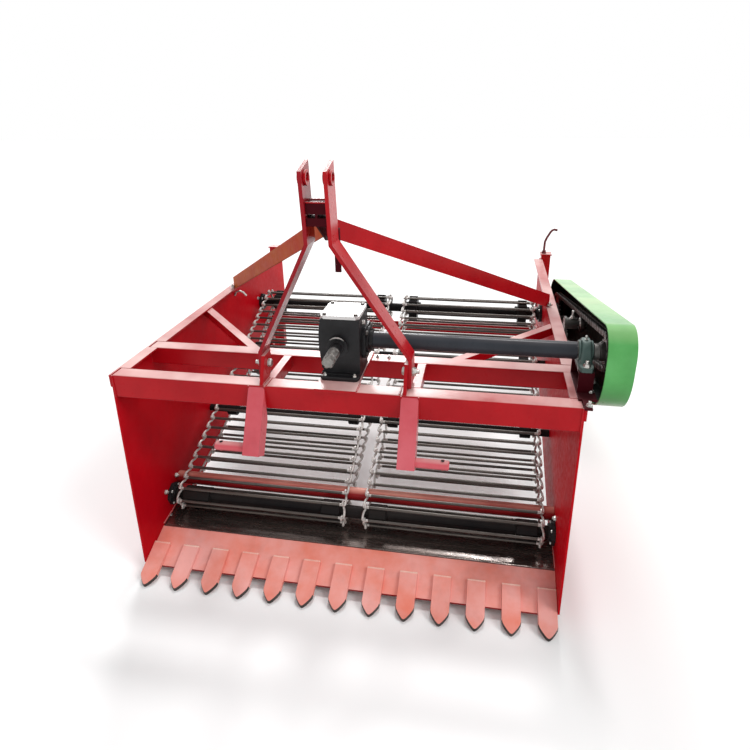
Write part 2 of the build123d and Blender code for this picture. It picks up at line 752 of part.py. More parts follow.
# The star wheels' teeth stand midway between the rods that lie on them.
rear_rod = max(rods)
star_step = 2 * pi / star_teeth
star_turn = atan2(rear_rod[1] - web_drive_z, rear_rod[0] - web_drive_y) + star_step / 2
root_half, tip_half = 0.2 * star_step, 0.11 * star_step
root_r = star_r / cos(star_step / 2 - root_half)
tip_r = star_r + star_tooth_h
star_outline = []
for i in range(star_teeth):
    for swing, radius in ((-root_half, root_r), (-tip_half, tip_r), (tip_half, tip_r), (root_half, root_r)):
        angle = star_turn + i * star_step + swing
        star_outline.append((web_drive_y + radius * cos(angle), web_drive_z + radius * sin(angle)))
with BuildPart() as web_drive_shaft:
    with BuildSketch(side(-inner + touch)):
        with Locations((web_drive_y, web_drive_z)):
            RegularPolygon(web_shaft_r, round_sides)
    extrude(amount=inner + sprocket_x + shaft_past - touch)
    for x0, x1 in sleeve_x:
        with BuildSketch(side((x0 + x1 - roller_w) / 2)):
            Polygon(*star_outline, align=None)
        extrude(amount=roller_w)
write(web_drive_shaft, "web_drive_shaft")

with BuildPart() as return_idler:
    with BuildSketch(side(-inner)):
        with Locations((idler_y, idler_z)):
            RegularPolygon(idler_shaft_r, roller_sides)
    extrude(amount=2 * inner)
    for x0, x1 in sleeve_x:
        with BuildSketch(side((x0 + x1 - roller_w) / 2)):
            with Locations((idler_y, idler_z)):
                RegularPolygon(idler_r, roller_sides)
        extrude(amount=roller_w)
write(return_idler, "return_idler")

with BuildPart() as carrier_rollers:
    for y in carrier_y:
        centre = under(belt(web_wheels)[0], y, carrier_r + rod_r + touch)
        with BuildSketch(side(-inner)):
            with Locations(centre):
                RegularPolygon(idler_shaft_r, roller_sides)
        extrude(amount=2 * inner)
        for x0, x1 in sleeve_x:
            with BuildSketch(side((x0 + x1 - roller_w) / 2)):
                with Locations(centre):
                    RegularPolygon(carrier_r, roller_sides)
            extrude(amount=roller_w)
write(carrier_rollers, "carrier_rollers")

for name, centre, shaft_r in (
    ("nose_bearings", (nose_y, nose_z), nose_shaft_r),
    ("web_drive_bearings", (web_drive_y, web_drive_z), web_shaft_r),
):
    with BuildPart() as bearings:
        for sign in (-1, 1):
            with BuildSketch(side(sign * inner)):
                with Locations(centre):
                    RegularPolygon(flange_unit_r, flange_unit_sides)
            extrude(amount=-sign * flange_unit_t)
            with BuildSketch(side(sign * inner)):
                with Locations(centre):
                    RegularPolygon(hub_r, round_sides)
            extrude(amount=-sign * hub_l)
            with BuildSketch(side(sign * inner)):
                with Locations(centre):
                    RegularPolygon(shaft_r + touch, round_sides)
            extrude(amount=-sign * hub_l, mode=Mode.SUBTRACT)
    write(bearings, name)

# ---------------------------------------------------------------- rear wheels
post_mid = half + post_side / 2
leg_side = post_side - 2 * rear_post_wall - 2 * leg_clear
wheel_mid = half + post_side + wheel_clear + tyre_w / 2
for word, sign in (("left", -1), ("right", 1)):
    with BuildPart() as rear_post:
        with BuildSketch(top(rear_post_foot)):
            with Locations((sign * post_mid, rear_post_y)):
                Rectangle(post_side, post_side)
                Rectangle(post_side - 2 * rear_post_wall, post_side - 2 * rear_post_wall, mode=Mode.SUBTRACT)
        extrude(amount=rear_post_top - rear_post_foot)
        with BuildSketch(top(rear_post_top)):
            with Locations((sign * post_mid, rear_post_y)):
                Rectangle(post_side + 2 * cap_over, post_side + 2 * cap_over)
        extrude(amount=cap_t)
    write(rear_post, f"rear_post_{word}")

    with BuildPart() as wheel_leg:
        with BuildSketch(top(wheel_r - leg_side / 2)):
            with Locations((sign * post_mid, rear_post_y)):
                Rectangle(leg_side, leg_side)
        extrude(amount=rear_post_top - post_side / 3 - wheel_r + leg_side / 2)
        with BuildSketch(side(sign * post_mid)):
            with Locations((rear_post_y, wheel_r)):
                Circle(axle_r)
        extrude(amount=sign * (wheel_mid + axle_end - post_mid))
    write(wheel_leg, f"wheel_leg_{word}")

    with BuildPart() as wheel_rim:
        with BuildSketch(side(sign * wheel_mid - rim_w / 2)):
            with Locations((rear_post_y, wheel_r)):
                RegularPolygon(rim_r - touch, wheel_sides)
                RegularPolygon(rim_r - rim_t, wheel_sides, mode=Mode.SUBTRACT)
        extrude(amount=rim_w)
        with BuildSketch(side(sign * wheel_mid - disc_t / 2)):
            with Locations((rear_post_y, wheel_r)):
                RegularPolygon(rim_r - rim_t / 2, wheel_sides)
        extrude(amount=disc_t)
        with BuildSketch(side(sign * wheel_mid - wheel_hub_l / 2)):
            with Locations((rear_post_y, wheel_r)):
                RegularPolygon(wheel_hub_r, round_sides)
        extrude(amount=wheel_hub_l)
        with BuildSketch(side(sign * wheel_mid - wheel_hub_l / 2)):
            with Locations((rear_post_y, wheel_r)):
                Circle(axle_r + touch)
        extrude(amount=wheel_hub_l, mode=Mode.SUBTRACT)
    write(wheel_rim, f"wheel_rim_{word}")

    with BuildPart() as tyre:
        with BuildSketch(side(sign * wheel_mid - tyre_w / 2)):
            with Locations((rear_post_y, wheel_r)):
                RegularPolygon(wheel_r, wheel_sides, major_radius=False, rotation=180 / wheel_sides)
                RegularPolygon(rim_r, wheel_sides, mode=Mode.SUBTRACT)
        extrude(amount=tyre_w)
        walls = tyre.faces().filter_by(Axis.X).sort_by(Axis.X)
        chamfer(walls[0].outer_wire().edges() + walls[-1].outer_wire().edges(), shoulder)
    write(tyre, f"tyre_{word}")

with BuildPart() as height_crank:
    with BuildLine(front(rear_post_y)) as crank_line:
        Polyline(*[(post_mid - crank_in + x, rear_post_top + cap_t + z) for x, z in crank_path])
    with BuildSketch(Plane(origin=crank_line.line @ 0, z_dir=crank_line.line % 0)):
        RegularPolygon(crank_r, rod_sides)
    sweep(transition=Transition.RIGHT)
write(height_crank, "height_crank")
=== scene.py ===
import bpy
import bmesh
import json
import random
from math import acos, atan2, ceil, copysign, cos, hypot, pi, radians, sin
from mathutils import Matrix, Vector


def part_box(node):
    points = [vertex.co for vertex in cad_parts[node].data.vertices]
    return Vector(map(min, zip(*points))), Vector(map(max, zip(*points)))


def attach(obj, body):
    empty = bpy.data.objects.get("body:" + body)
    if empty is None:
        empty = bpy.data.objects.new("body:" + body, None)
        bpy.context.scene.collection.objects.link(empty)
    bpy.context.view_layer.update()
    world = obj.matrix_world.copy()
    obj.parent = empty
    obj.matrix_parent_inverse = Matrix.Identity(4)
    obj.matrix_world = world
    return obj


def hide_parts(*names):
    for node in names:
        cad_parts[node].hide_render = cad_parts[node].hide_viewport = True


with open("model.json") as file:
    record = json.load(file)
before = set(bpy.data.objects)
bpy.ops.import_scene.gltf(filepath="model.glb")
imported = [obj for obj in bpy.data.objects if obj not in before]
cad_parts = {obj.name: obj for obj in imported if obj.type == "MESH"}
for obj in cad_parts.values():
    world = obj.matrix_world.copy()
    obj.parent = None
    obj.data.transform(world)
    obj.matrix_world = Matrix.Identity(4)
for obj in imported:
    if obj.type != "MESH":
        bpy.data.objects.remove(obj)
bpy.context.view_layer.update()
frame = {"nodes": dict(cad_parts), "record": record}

# Places are in millimetres: x to the machine's right, depth behind the front beam's front face, height
# above the ground. The pieces themselves are in metres.
BEAM_Y = -834.978
INSIDE, OUTSIDE = 694, 700  # the side plates' inner and outer faces
CLEAR = 0.3  # between round faces that lie on each other
X, Y, Z = Vector((1, 0, 0)), Vector((0, 1, 0)), Vector((0, 0, 1))


def at(x, y, z):
    """A place in the machine's millimetres as a point in metres."""
    return Vector((x, y + BEAM_Y, z)) / 1000


# -------- materials
EDGE_START, EDGE_FULL = 0.94, 0.78  # cosine between the flat and the rounded normal
# Pale chalking and painted sheen in one colour, laid on faces that look up.
CHALK_AND_SHEEN_COLOUR = (0.95, 0.74, 0.70)


class Nodes:
    """Shorthand for building one material's node tree."""

    def __init__(self, name):
        self.material = bpy.data.materials.new(name)
        self.material.use_nodes = True
        self.tree = self.material.node_tree
        self.shader = self.tree.nodes["Principled BSDF"]
        coords = self.tree.nodes.new("ShaderNodeTexCoord")
        self.place = coords.outputs["Object"]

    def add(self, kind, inputs=(), **settings):
        """A node of that kind, with links and values for its inputs."""
        node = self.tree.nodes.new("ShaderNode" + kind)
        for key, value in settings.items():
            setattr(node, key, value)
        for key, value in inputs:
            if isinstance(value, bpy.types.NodeSocket):
                self.tree.links.new(value, node.inputs[key])
            else:
                node.inputs[key].default_value = value
        return node

    def noise(self, scale, detail, rough=0.55, stretch=None):
        """Noise in the object's own space, from 0 to 1."""
        place = self.place
        if stretch:
            place = self.add("Mapping", [("Vector", place), ("Scale", stretch)]).outputs[0]
        settings = [("Vector", place), ("Scale", scale), ("Detail", detail), ("Roughness", rough)]
        return self.add("TexNoise", settings).outputs["Fac"]

    def between(self, value, low, high, out_low=0.0, out_high=1.0):
        """Maps low to high onto out_low to out_high, and holds it there beyond them."""
        inputs = [("Value", value), ("From Min", low), ("From Max", high)]
        inputs += [("To Min", out_low), ("To Max", out_high)]
        return self.add("MapRange", inputs).outputs[0]

    def times(self, a, b):
        """Their product."""
        return self.add("Math", [(0, a), (1, b)], operation="MULTIPLY").outputs[0]

    def plus(self, a, b):
        """Their sum."""
        return self.add("Math", [(0, a), (1, b)], operation="ADD").outputs[0]

    def blend(self, factor, first, second):
        """The first colour at factor 0, the second at 1."""
        node = self.add("Mix", [("Factor", factor)], data_type="RGBA")
        for socket, value in ((node.inputs[6], first), (node.inputs[7], second)):
            if isinstance(value, bpy.types.NodeSocket):
                self.tree.links.new(value, socket)
            else:
                socket.default_value = (*value, 1)
        return node.outputs[2]

    def edges(self, radius):
        """1 on sharp edges, 0 on flat faces, and the rounded normal that finds them."""
        rounded = self.add("Bevel", [("Radius", radius)], samples=6).outputs[0]
        flat = self.add("NewGeometry").outputs["Normal"]
        dot = self.add("VectorMath", [(0, rounded), (1, flat)], operation="DOT_PRODUCT")
        return self.between(dot.outputs["Value"], EDGE_START, EDGE_FULL), rounded

    def finish(self, colour, rough, height, strength, distance, normal=None, **plain):
        """Joins colour, roughness and bump to the shader. The plain values are the same all over."""
        link = self.tree.links.new
        link(colour, self.shader.inputs["Base Color"])
        link(rough, self.shader.inputs["Roughness"])
        bump = self.add("Bump", [("Height", height), ("Strength", strength), ("Distance", distance)])
        if normal is not None:
            link(normal, bump.inputs["Normal"])
        link(bump.outputs[0], self.shader.inputs["Normal"])
        for key, value in plain.items():
            self.shader.inputs[key.replace("_", " ")].default_value = value
        return self.material


def enamel(name, colour, faded, chipped, rough=0.30, coat=1.0, dust_and_sheen=0.78, chalk_and_sheen=CHALK_AND_SHEEN_COLOUR):
    """Sprayed gloss paint: slow changes of tone, orange peel, worn edges, pale chalking with painted sheen on
    faces that look up, and painted shade on faces that look down.
    """
    edge_wear = 0.2
    n = Nodes(name)
    broad = n.between(n.noise(5.5, 5), 0.35, 0.68)
    base = n.blend(broad, colour, faded)
    runs = n.between(n.noise(16, 7, 0.6, (1, 1, 0.4)), 0.50, 0.80)
    base = n.blend(n.times(runs, 0.30), base, tuple(c * 0.5 for c in colour))
    edge, rounded = n.edges(0.0016)
    patch = n.between(n.noise(85, 6, 0.7), 0.52, 0.60)
    wear = n.times(n.times(edge, patch), edge_wear)
    base = n.blend(wear, base, chipped)
    up = n.add("SeparateXYZ", [(0, n.add("NewGeometry").outputs["Normal"])]).outputs[2]
    # Faces that look up get pale chalking and, by the same mask and colour, a painted sheen for the glare on
    # their tops. The mask also roughens them.
    dust_and_sheen_mask = n.times(n.between(up, 0.55, 1.0), n.between(n.noise(4, 4, 0.5), 0.20, 0.70))
    base = n.blend(n.times(dust_and_sheen_mask, dust_and_sheen), base, chalk_and_sheen)
    # Painted shade: faces that look down are darkened toward a fifth of the colour.
    base = n.blend(n.between(up, -0.08, -0.75, 0, 0.6), base, tuple(c * 0.2 for c in colour))
    roughness = n.between(n.noise(60, 4), 0.3, 0.7, rough - 0.06, rough + 0.12)
    roughness = n.plus(roughness, n.times(dust_and_sheen_mask, 0.3))
    peel = n.noise(420, 2)
    gloss = {"Coat_Weight": coat, "Coat_IOR": 1.2, "Coat_Roughness": 0.24, "Specular_IOR_Level": 0.04}
    return n.finish(base, roughness, peel, 0.10, 0.0006, rounded, **gloss)


def worn_steel(
    name,
    colour,
    brown,
    bright,
    metallic=0.75,
    rough=0.42,
    streak=(1, 1, 1),
    rust=0.5,
    scale=0.45,
    film=0.0,
):
    """Bare steel with mill scale, brown bloom, bright rubbed edges and, with a film, an oily gloss."""
    edge_wear = 0.6
    n = Nodes(name)
    skin = n.between(n.noise(26, 8, 0.68, streak), 0.38, 0.66)
    base = n.blend(skin, colour, tuple(c * scale for c in colour))
    bloom = n.between(n.noise(11, 8, 0.7, streak), 0.50, 0.66)
    base = n.blend(n.times(bloom, rust), base, brown)
    edge, rounded = n.edges(0.0012)
    rubbed = n.times(edge, n.between(n.noise(70, 5), 0.4, 0.6, edge_wear * 0.4, edge_wear))
    base = n.blend(rubbed, base, bright)
    roughness = n.between(n.noise(90, 5, 0.6, streak), 0.3, 0.7, rough - 0.12, rough + 0.16)
    grain = n.noise(330, 5, 0.7, streak)
    gloss = {"Metallic": metallic, "Coat_Weight": film, "Coat_Roughness": 0.16}
    return n.finish(base, roughness, grain, 0.22, 0.0006, rounded, **gloss)


def casting(name, colour):
    """Painted sand casting: fine pimpled skin under a thin coat."""
    rough = 0.5
    n = Nodes(name)
    base = n.blend(n.between(n.noise(14, 6), 0.4, 0.7), colour, tuple(c * 1.9 + 0.004 for c in colour))
    edge, rounded = n.edges(0.0022)
    base = n.blend(n.times(edge, 0.30), base, (0.10, 0.10, 0.10))
    skin = n.plus(n.noise(520, 3, 0.6), n.times(n.noise(120, 4, 0.6), 0.8))
    roughness = n.between(n.noise(45, 4), 0.3, 0.7, rough - 0.1, rough + 0.12)
    gloss = {"Coat_Weight": 0.08, "Specular_IOR_Level": 0.25}
    return n.finish(base, roughness, skin, 0.35, 0.0007, rounded, **gloss)


def rubber(name):
    """Moulded rubber with dried soil on its lowest part."""
    n = Nodes(name)
    mould = n.between(n.noise(30, 7, 0.65), 0.42, 0.7)
    base = n.blend(mould, (0.022, 0.022, 0.023), (0.060, 0.056, 0.050))
    low = n.add("SeparateXYZ", [(0, n.place)]).outputs[2]
    soil = n.times(n.between(low, 0.16, 0.0), n.between(n.noise(23, 8, 0.7), 0.45, 0.65, 0, 0.5))
    base = n.blend(soil, base, (0.20, 0.15, 0.11))
    return n.finish(base, n.between(mould, 0, 1, 0.62, 0.82), n.noise(380, 4), 0.3, 0.0006)


RED, RED_DEEP, RED_PRIMER = (0.47, 0.007, 0.012), (0.37, 0.003, 0.008), (0.22, 0.08, 0.07)

# Each row: the material's name, its colour, the colour where it has faded, the colour where it is chipped.
paints = {
    "red_paint": ("red_enamel", RED, RED_DEEP, RED_PRIMER),
    "plate_red": ("plate_enamel", (0.50, 0.002, 0.008), (0.41, 0.002, 0.008), RED_PRIMER),
    # A paler, salmon copy of the red paint for the blade and its teeth: painted light for the glare on the
    # blade.
    "lit_blade_red": ("blade_enamel", (0.87, 0.40, 0.36), (0.78, 0.18, 0.11), (0.40, 0.28, 0.25)),
    "post_red": ("post_enamel", (0.70, 0.150, 0.180), (0.60, 0.080, 0.100), RED_PRIMER),
    "weld_red": ("weld_enamel", (0.92, 0.60, 0.50), (0.82, 0.34, 0.26), (0.4, 0.3, 0.28)),
    # Near black, for a sheet inside the chain guard: painted shade for its dark inside.
    "guard_inner_shade": ("guard_shade_paint", (0.010, 0.013, 0.011), (0.018, 0.022, 0.018), (0.05, 0.06, 0.05)),
    # A darker copy of the red for the left mast bar: painted shade.
    "shaded_bar_red": ("shaded_bar_enamel", (0.34, 0.006, 0.014), (0.26, 0.004, 0.010), RED_PRIMER),
    # A lighter, more orange copy of the red for the left back brace: a painted reflection of the sky.
    "sky_sheen_red": ("brace_enamel", (0.44, 0.090, 0.012), (0.40, 0.035, 0.012), RED_PRIMER),
    # A near-black copy of the red for the mast spacers and the bearing shelf: painted shade.
    "shaded_red": ("shaded_enamel", (0.065, 0.004, 0.008), (0.045, 0.003, 0.006), (0.10, 0.05, 0.05)),
    "cross_tube_red": ("cross_tube_enamel", (0.40, 0.020, 0.022), (0.30, 0.006, 0.010), RED_PRIMER),
    "crank_red": ("crank_enamel", (0.17, 0.030, 0.035), (0.11, 0.018, 0.022), (0.20, 0.15, 0.14)),
    "green_paint": ("green_enamel", (0.140, 0.47, 0.150), (0.075, 0.33, 0.080), (0.20, 0.26, 0.17)),
    "tube_paint": ("tube_enamel", (0.040, 0.046, 0.056), (0.028, 0.031, 0.038), (0.20, 0.19, 0.18)),
    "roller_black": ("roller_enamel", (0.010, 0.009, 0.010), (0.020, 0.017, 0.016), (0.22, 0.20, 0.18)),
    "bearing_paint": ("bearing_enamel", (0.10, 0.16, 0.145), (0.075, 0.12, 0.11), (0.20, 0.20, 0.19)),
}
paint_settings = {
    "plate_red": {"rough": 0.38, "coat": 0.0},
    "lit_blade_red": {"rough": 0.36, "dust_and_sheen": 0.05},
    "weld_red": {"rough": 0.36, "dust_and_sheen": 0.1},
    "guard_inner_shade": {"rough": 0.5, "coat": 0.0, "dust_and_sheen": 0.0},
    "shaded_bar_red": {"dust_and_sheen": 0.4},
    "sky_sheen_red": {"rough": 0.45, "coat": 0.0, "dust_and_sheen": 0.05},
    "shaded_red": {"rough": 0.45, "coat": 0.0, "dust_and_sheen": 0.03},
    # The nose cross tube: a strong salmon colour on its top, a painted highlight.
    "cross_tube_red": {"dust_and_sheen": 1.1, "chalk_and_sheen": (0.86, 0.40, 0.32)},
    "crank_red": {"rough": 0.40, "dust_and_sheen": 0.05},
    # The guard's pale yellow-green top: partly sun-bleaching, partly painted sheen.
    "green_paint": {"dust_and_sheen": 0.50, "chalk_and_sheen": (0.72, 0.84, 0.46)},
    "tube_paint": {"rough": 0.28, "dust_and_sheen": 0.05},
    "roller_black": {"rough": 0.32, "coat": 0.1, "dust_and_sheen": 0.02},
    "bearing_paint": {"rough": 0.40, "chalk_and_sheen": (0.55, 0.62, 0.58)},
}

# Each row: the material's name, its colour, the brown of its bloom, the bright of its rubbed edges.
steels = {
    "cover_steel": ("cover_plate", (0.84, 0.84, 0.83), (0.70, 0.68, 0.64), (0.88, 0.88, 0.87)),
    "bare_steel": ("mill_steel", (0.30, 0.285, 0.27), (0.17, 0.13, 0.105), (0.72, 0.70, 0.67)),
    "rod_steel": ("rod_steel", (0.125, 0.110, 0.098), (0.085, 0.058, 0.044), (0.5, 0.48, 0.46)),
    "apron_steel": ("apron_steel", (0.21, 0.165, 0.148), (0.13, 0.080, 0.064), (0.6, 0.58, 0.55)),
    "hook_steel": ("hook_steel", (0.66, 0.63, 0.60), (0.34, 0.27, 0.23), (0.85, 0.84, 0.82)),
    "dark_steel": ("oiled_steel", (0.10, 0.094, 0.088), (0.075, 0.055, 0.043), (0.42, 0.40, 0.38)),
    "zinc": ("zinc_plate", (0.62, 0.61, 0.58), (0.44, 0.38, 0.28), (0.86, 0.85, 0.83)),
    "edge_steel": ("ground_edge", (0.075, 0.065, 0.060), (0.05, 0.034, 0.028), (0.4, 0.38, 0.36)),
}
steel_settings = {
    "cover_steel": {"metallic": 0.15, "rough": 0.38, "rust": 0.10, "scale": 0.88},
    "rod_steel": {"metallic": 0.55, "rough": 0.36, "streak": (0.1, 1, 1)},
    "apron_steel": {"metallic": 0.80, "rough": 0.22, "streak": (0.12, 1, 1), "film": 0.7},
    "hook_steel": {"metallic": 0.35, "rough": 0.40, "rust": 0.35, "scale": 0.6},
    "dark_steel": {"metallic": 0.8, "rough": 0.38},
    "zinc": {"metallic": 0.85, "rough": 0.30, "rust": 0.25},
    "edge_steel": {"metallic": 0.6, "rough": 0.45},
}
material = {
    **{slot: enamel(*row, **paint_settings.get(slot, {})) for slot, row in paints.items()},
    **{slot: worn_steel(*row, **steel_settings.get(slot, {})) for slot, row in steels.items()},
    "black_cast": casting("black_casting", (0.006, 0.006, 0.007)),
    "tyre": rubber("tyre_rubber"),
}

# Nodes that look unlike the rest of their slot. On the blade and its teeth, the left back brace, the left
# mast bar, the mast spacers and the bearing shelf the difference is painted light or shade, and the nose
# cross tube's paint carries a painted highlight on its top.
own_material = {
    "side_plate_left": "plate_red",
    "side_plate_right": "plate_red",
    "digging_blade": "lit_blade_red",
    "blade_teeth": "lit_blade_red",
    "hitch_post_left": "post_red",
    "hitch_post_right": "post_red",
    "back_brace_left": "sky_sheen_red",
    "mast_bar_left": "shaded_bar_red",
    "apron_plate": "apron_steel",
    "nose_roller": "roller_black",
    "mast_spacers": "shaded_red",
    "bearing_shelf": "shaded_red",
    "height_crank": "crank_red",
    "nose_cross_tube": "cross_tube_red",
}
for row in frame["record"]["subparts"]:
    node = frame["nodes"][row["node"]]
    chosen = material[own_material.get(row["node"], row["material_slot"])]
    node.data.materials.clear()
    node.data.materials.append(chosen)


# -------- mesh builders
def piece(name, bm, body, finish, stands_for=(), sharp=35):
    """Turns a bmesh into a piece that rides on a body. Edges over the sharp angle, in degrees, stay sharp."""
    mesh = bpy.data.meshes.new(name)
    bmesh.ops.recalc_face_normals(bm, faces=bm.faces)
    bm.to_mesh(mesh)
    bm.free()
    mesh.polygons.foreach_set("use_smooth", [True] * len(mesh.polygons))
    mesh.set_sharp_from_angle(angle=radians(sharp))
    mesh.materials.append(material[finish])
    obj = bpy.data.objects.new(name, mesh)
    bpy.context.scene.collection.objects.link(obj)
    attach(obj, body)
    if stands_for:
        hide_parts(*stands_for)


def across(axis):
    """Two directions that make a right-handed frame with the axis."""
    axis = axis.normalized()
    first = axis.cross(Z) if abs(axis.z) < 0.9 else axis.cross(X)
    first.normalize()
    return first, axis.cross(first)


def rings(bm, loops, closed=False, cap=True):
    """Joins loops of points, each with the same count, into a skin."""
    made = [[bm.verts.new(point) for point in loop] for loop in loops]
    following = made[1:] + made[:1] if closed else made[1:]
    for low, high in zip(made, following):
        for i in range(len(low)):
            j = (i + 1) % len(low)
            bm.faces.new((low[i], low[j], high[j], high[i]))
    if cap and not closed:
        bm.faces.new(list(reversed(made[0])))
        bm.faces.new(made[-1])


def circle(middle, u, v, radius, sides):
    """Points round a middle, in the plane of u and v, with the radius in millimetres."""
    turns = [2 * pi * i / sides for i in range(sides)]
    return [middle + (u * cos(a) + v * sin(a)) * (radius / 1000) for a in turns]


def lathe(bm, centre, axis, profile, sides=40, closed=False):
    """Turns (distance along the axis, radius) points, in millimetres, about the axis."""
    axis = axis.normalized()
    u, v = across(axis)
    loops = [circle(centre + axis * (along / 1000), u, v, radius, sides) for along, radius in profile]
    rings(bm, loops, closed)


def tube(bm, points, radius, sides, closed=False, radii=None):
    """A round bar along points in metres, with one radius or one per point, in millimetres."""
    count = len(points)
    tangents = []
    for i in range(count):
        before = points[(i - 1) % count] if closed or i else points[0]
        after = points[(i + 1) % count] if closed or i < count - 1 else points[-1]
        tangents.append((after - before).normalized())
    u = across(tangents[0])[0]
    loops = []
    for i, (point, tangent) in enumerate(zip(points, tangents)):
        u = (u - tangent * u.dot(tangent)).normalized()
        loops.append(circle(point, u, tangent.cross(u), radii[i] if radii else radius, sides))
    rings(bm, loops, closed)


def slab(bm, outline, origin, u, v, thick, chamfer):
    """A plate with broken edges: (u, v) outline points in millimetres, built up along u x v."""
    w = u.cross(v).normalized()
    middle = Vector((sum(p[0] for p in outline), sum(p[1] for p in outline), 0)) / len(outline)

    def loop(shrink, height):
        """The outline drawn in by shrink, at a height."""
        points = []
        for a, b in outline:
            away = Vector((a - middle.x, b - middle.y, 0))
            keep = 1 - shrink / max(away.length, shrink + 0.1)
            a, b = middle.x + away.x * keep, middle.y + away.y * keep
            points.append(origin + (u * a + v * b + w * height) / 1000)
        return points

    rings(bm, [loop(chamfer, 0), loop(0, chamfer), loop(0, thick - chamfer), loop(chamfer, thick)])


def block(bm, low, high, chamfer):
    """A box between two corners, in millimetres of the machine's frame."""
    outline = [(low[0], low[1]), (high[0], low[1]), (high[0], high[1]), (low[0], high[1])]
    slab(bm, outline, at(0, 0, low[2]), X, Y, high[2] - low[2], chamfer)


def hexagon(bm, centre, axis, flat, height, turn):
    """A hexagon head or nut with its corners turned off at the top."""
    axis = axis.normalized()
    u, v = across(axis)
    corner = flat / 2 / cos(pi / 6)
    loops = []
    for along, radius in ((0, corner), (height * 0.65, corner), (height, flat / 2 * 0.93)):
        turns = [turn + pi * i / 3 for i in range(6)]
        loops.append([centre + (axis * along + (u * cos(a) + v * sin(a)) * radius) / 1000 for a in turns])
    rings(bm, loops)


# Shares of a bolt's size, and the pitch of its thread in millimetres.
HEAD_FLATS, HEAD_HEIGHT, HEAD_BASE = 1.65, 0.66, 0.17
THREAD_PITCH = 1.5


def bolt(bm, centre, axis, size, washer=True, stub=0.0, turn=0.0):
    """A bolt's head on its washer, or with a stub the nut and the thread that stands out of it."""
    axis = axis.normalized()
    base = 0.0
    if washer:
        rim = [(0, size * 0.95), (0.5, size), (size * 0.14, size), (size * 0.18, size * 0.9)]
        lathe(bm, centre, axis, rim, 20)
        base = size * HEAD_BASE
    hexagon(bm, centre + axis * base / 1000, axis, size * HEAD_FLATS, size * HEAD_HEIGHT, turn)
    if stub:
        crest, valley, tip = size * 0.5, size * 0.43, size * 0.36
        thread = [(0, crest)]
        along = base + size * 0.6
        while along < base + size * HEAD_HEIGHT + stub - 1:
            thread += [(along, crest), (along + THREAD_PITCH / 2, valley)]
            along += THREAD_PITCH
        thread += [(along, crest), (along + 0.6, tip)]
        lathe(bm, centre, axis, thread, 14)


# Draws for the beads' lumps and the rods' sag. Its seed and the order of its draws are kept.
dice = random.Random(7)
BEAD_STEP = 0.0042


def bead(bm, start, end, radius):
    """A weld bead: a lumpy round fillet between two places in metres, its radius in millimetres."""
    run = (end - start).length
    steps = max(3, ceil(run / BEAD_STEP))
    points, radii = [], []
    for i in range(steps + 1):
        points.append(start.lerp(end, i / steps))
        radii.append(radius * (0.86 + 0.22 * (i % 2) + dice.uniform(-0.10, 0.10)))
    tube(bm, points, radius, 7, radii=radii)


# -------- loops of the webs and the chain
def belt(wheels):
    """The straight runs round (depth, height, radius) wheels: each run's start, end and outward angle."""
    spans = []
    for (y1, z1, r1), (y2, z2, r2) in zip(wheels, wheels[1:] + wheels[:1]):
        length = hypot(y2 - y1, z2 - z1)
        normal = atan2(z2 - z1, y2 - y1) + acos((r1 - r2) / length)
        start = (y1 + r1 * cos(normal), z1 + r1 * sin(normal))
        end = (y2 + r2 * cos(normal), z2 + r2 * sin(normal))
        spans.append((start, end, normal))
    return spans


def stations(wheels, pitch):
    """An even number of (depth, height, outward angle) places, evenly spaced along the loop."""
    spans = belt(wheels)
    parts = []
    for here, there, wheel in zip(spans, spans[1:] + spans[:1], wheels[1:] + wheels[:1]):
        parts.append((hypot(here[1][0] - here[0][0], here[1][1] - here[0][1]), here, None))
        parts.append((wheel[2] * ((here[2] - there[2]) % (2 * pi)), here, wheel))
    total = sum(part[0] for part in parts)
    count = 2 * round(total / pitch / 2)
    places = []
    for i in range(count):
        s = i * total / count
        for length, here, wheel in parts:
            if s <= length:
                break
            s -= length
        if wheel is None:
            (y1, z1), (y2, z2), normal = here
            places.append((y1 + (y2 - y1) * s / length, z1 + (z2 - z1) * s / length, normal))
        else:
            angle = here[2] - s / wheel[2]
            places.append((wheel[0] + wheel[2] * cos(angle), wheel[1] + wheel[2] * sin(angle), angle))
    return places


ROD, PITCH = 5.25, 47.5  # a rod's radius, and the way from rod to rod
NOSE, DRIVE, IDLER = (200, 160), (1240, 566), (735, 293)  # (depth, height) of the axes
NOSE_R, IDLER_R, CARRIER_R = 35, 30, 25
STAR_TEETH = 7
STAR = PITCH * STAR_TEETH / (2 * pi) - ROD - CLEAR
web_wheels = [
    (*NOSE, NOSE_R + ROD + CLEAR),
    (*DRIVE, STAR + ROD + CLEAR),
    (*IDLER, IDLER_R + ROD + CLEAR),
]
rods = stations(web_wheels, PITCH)

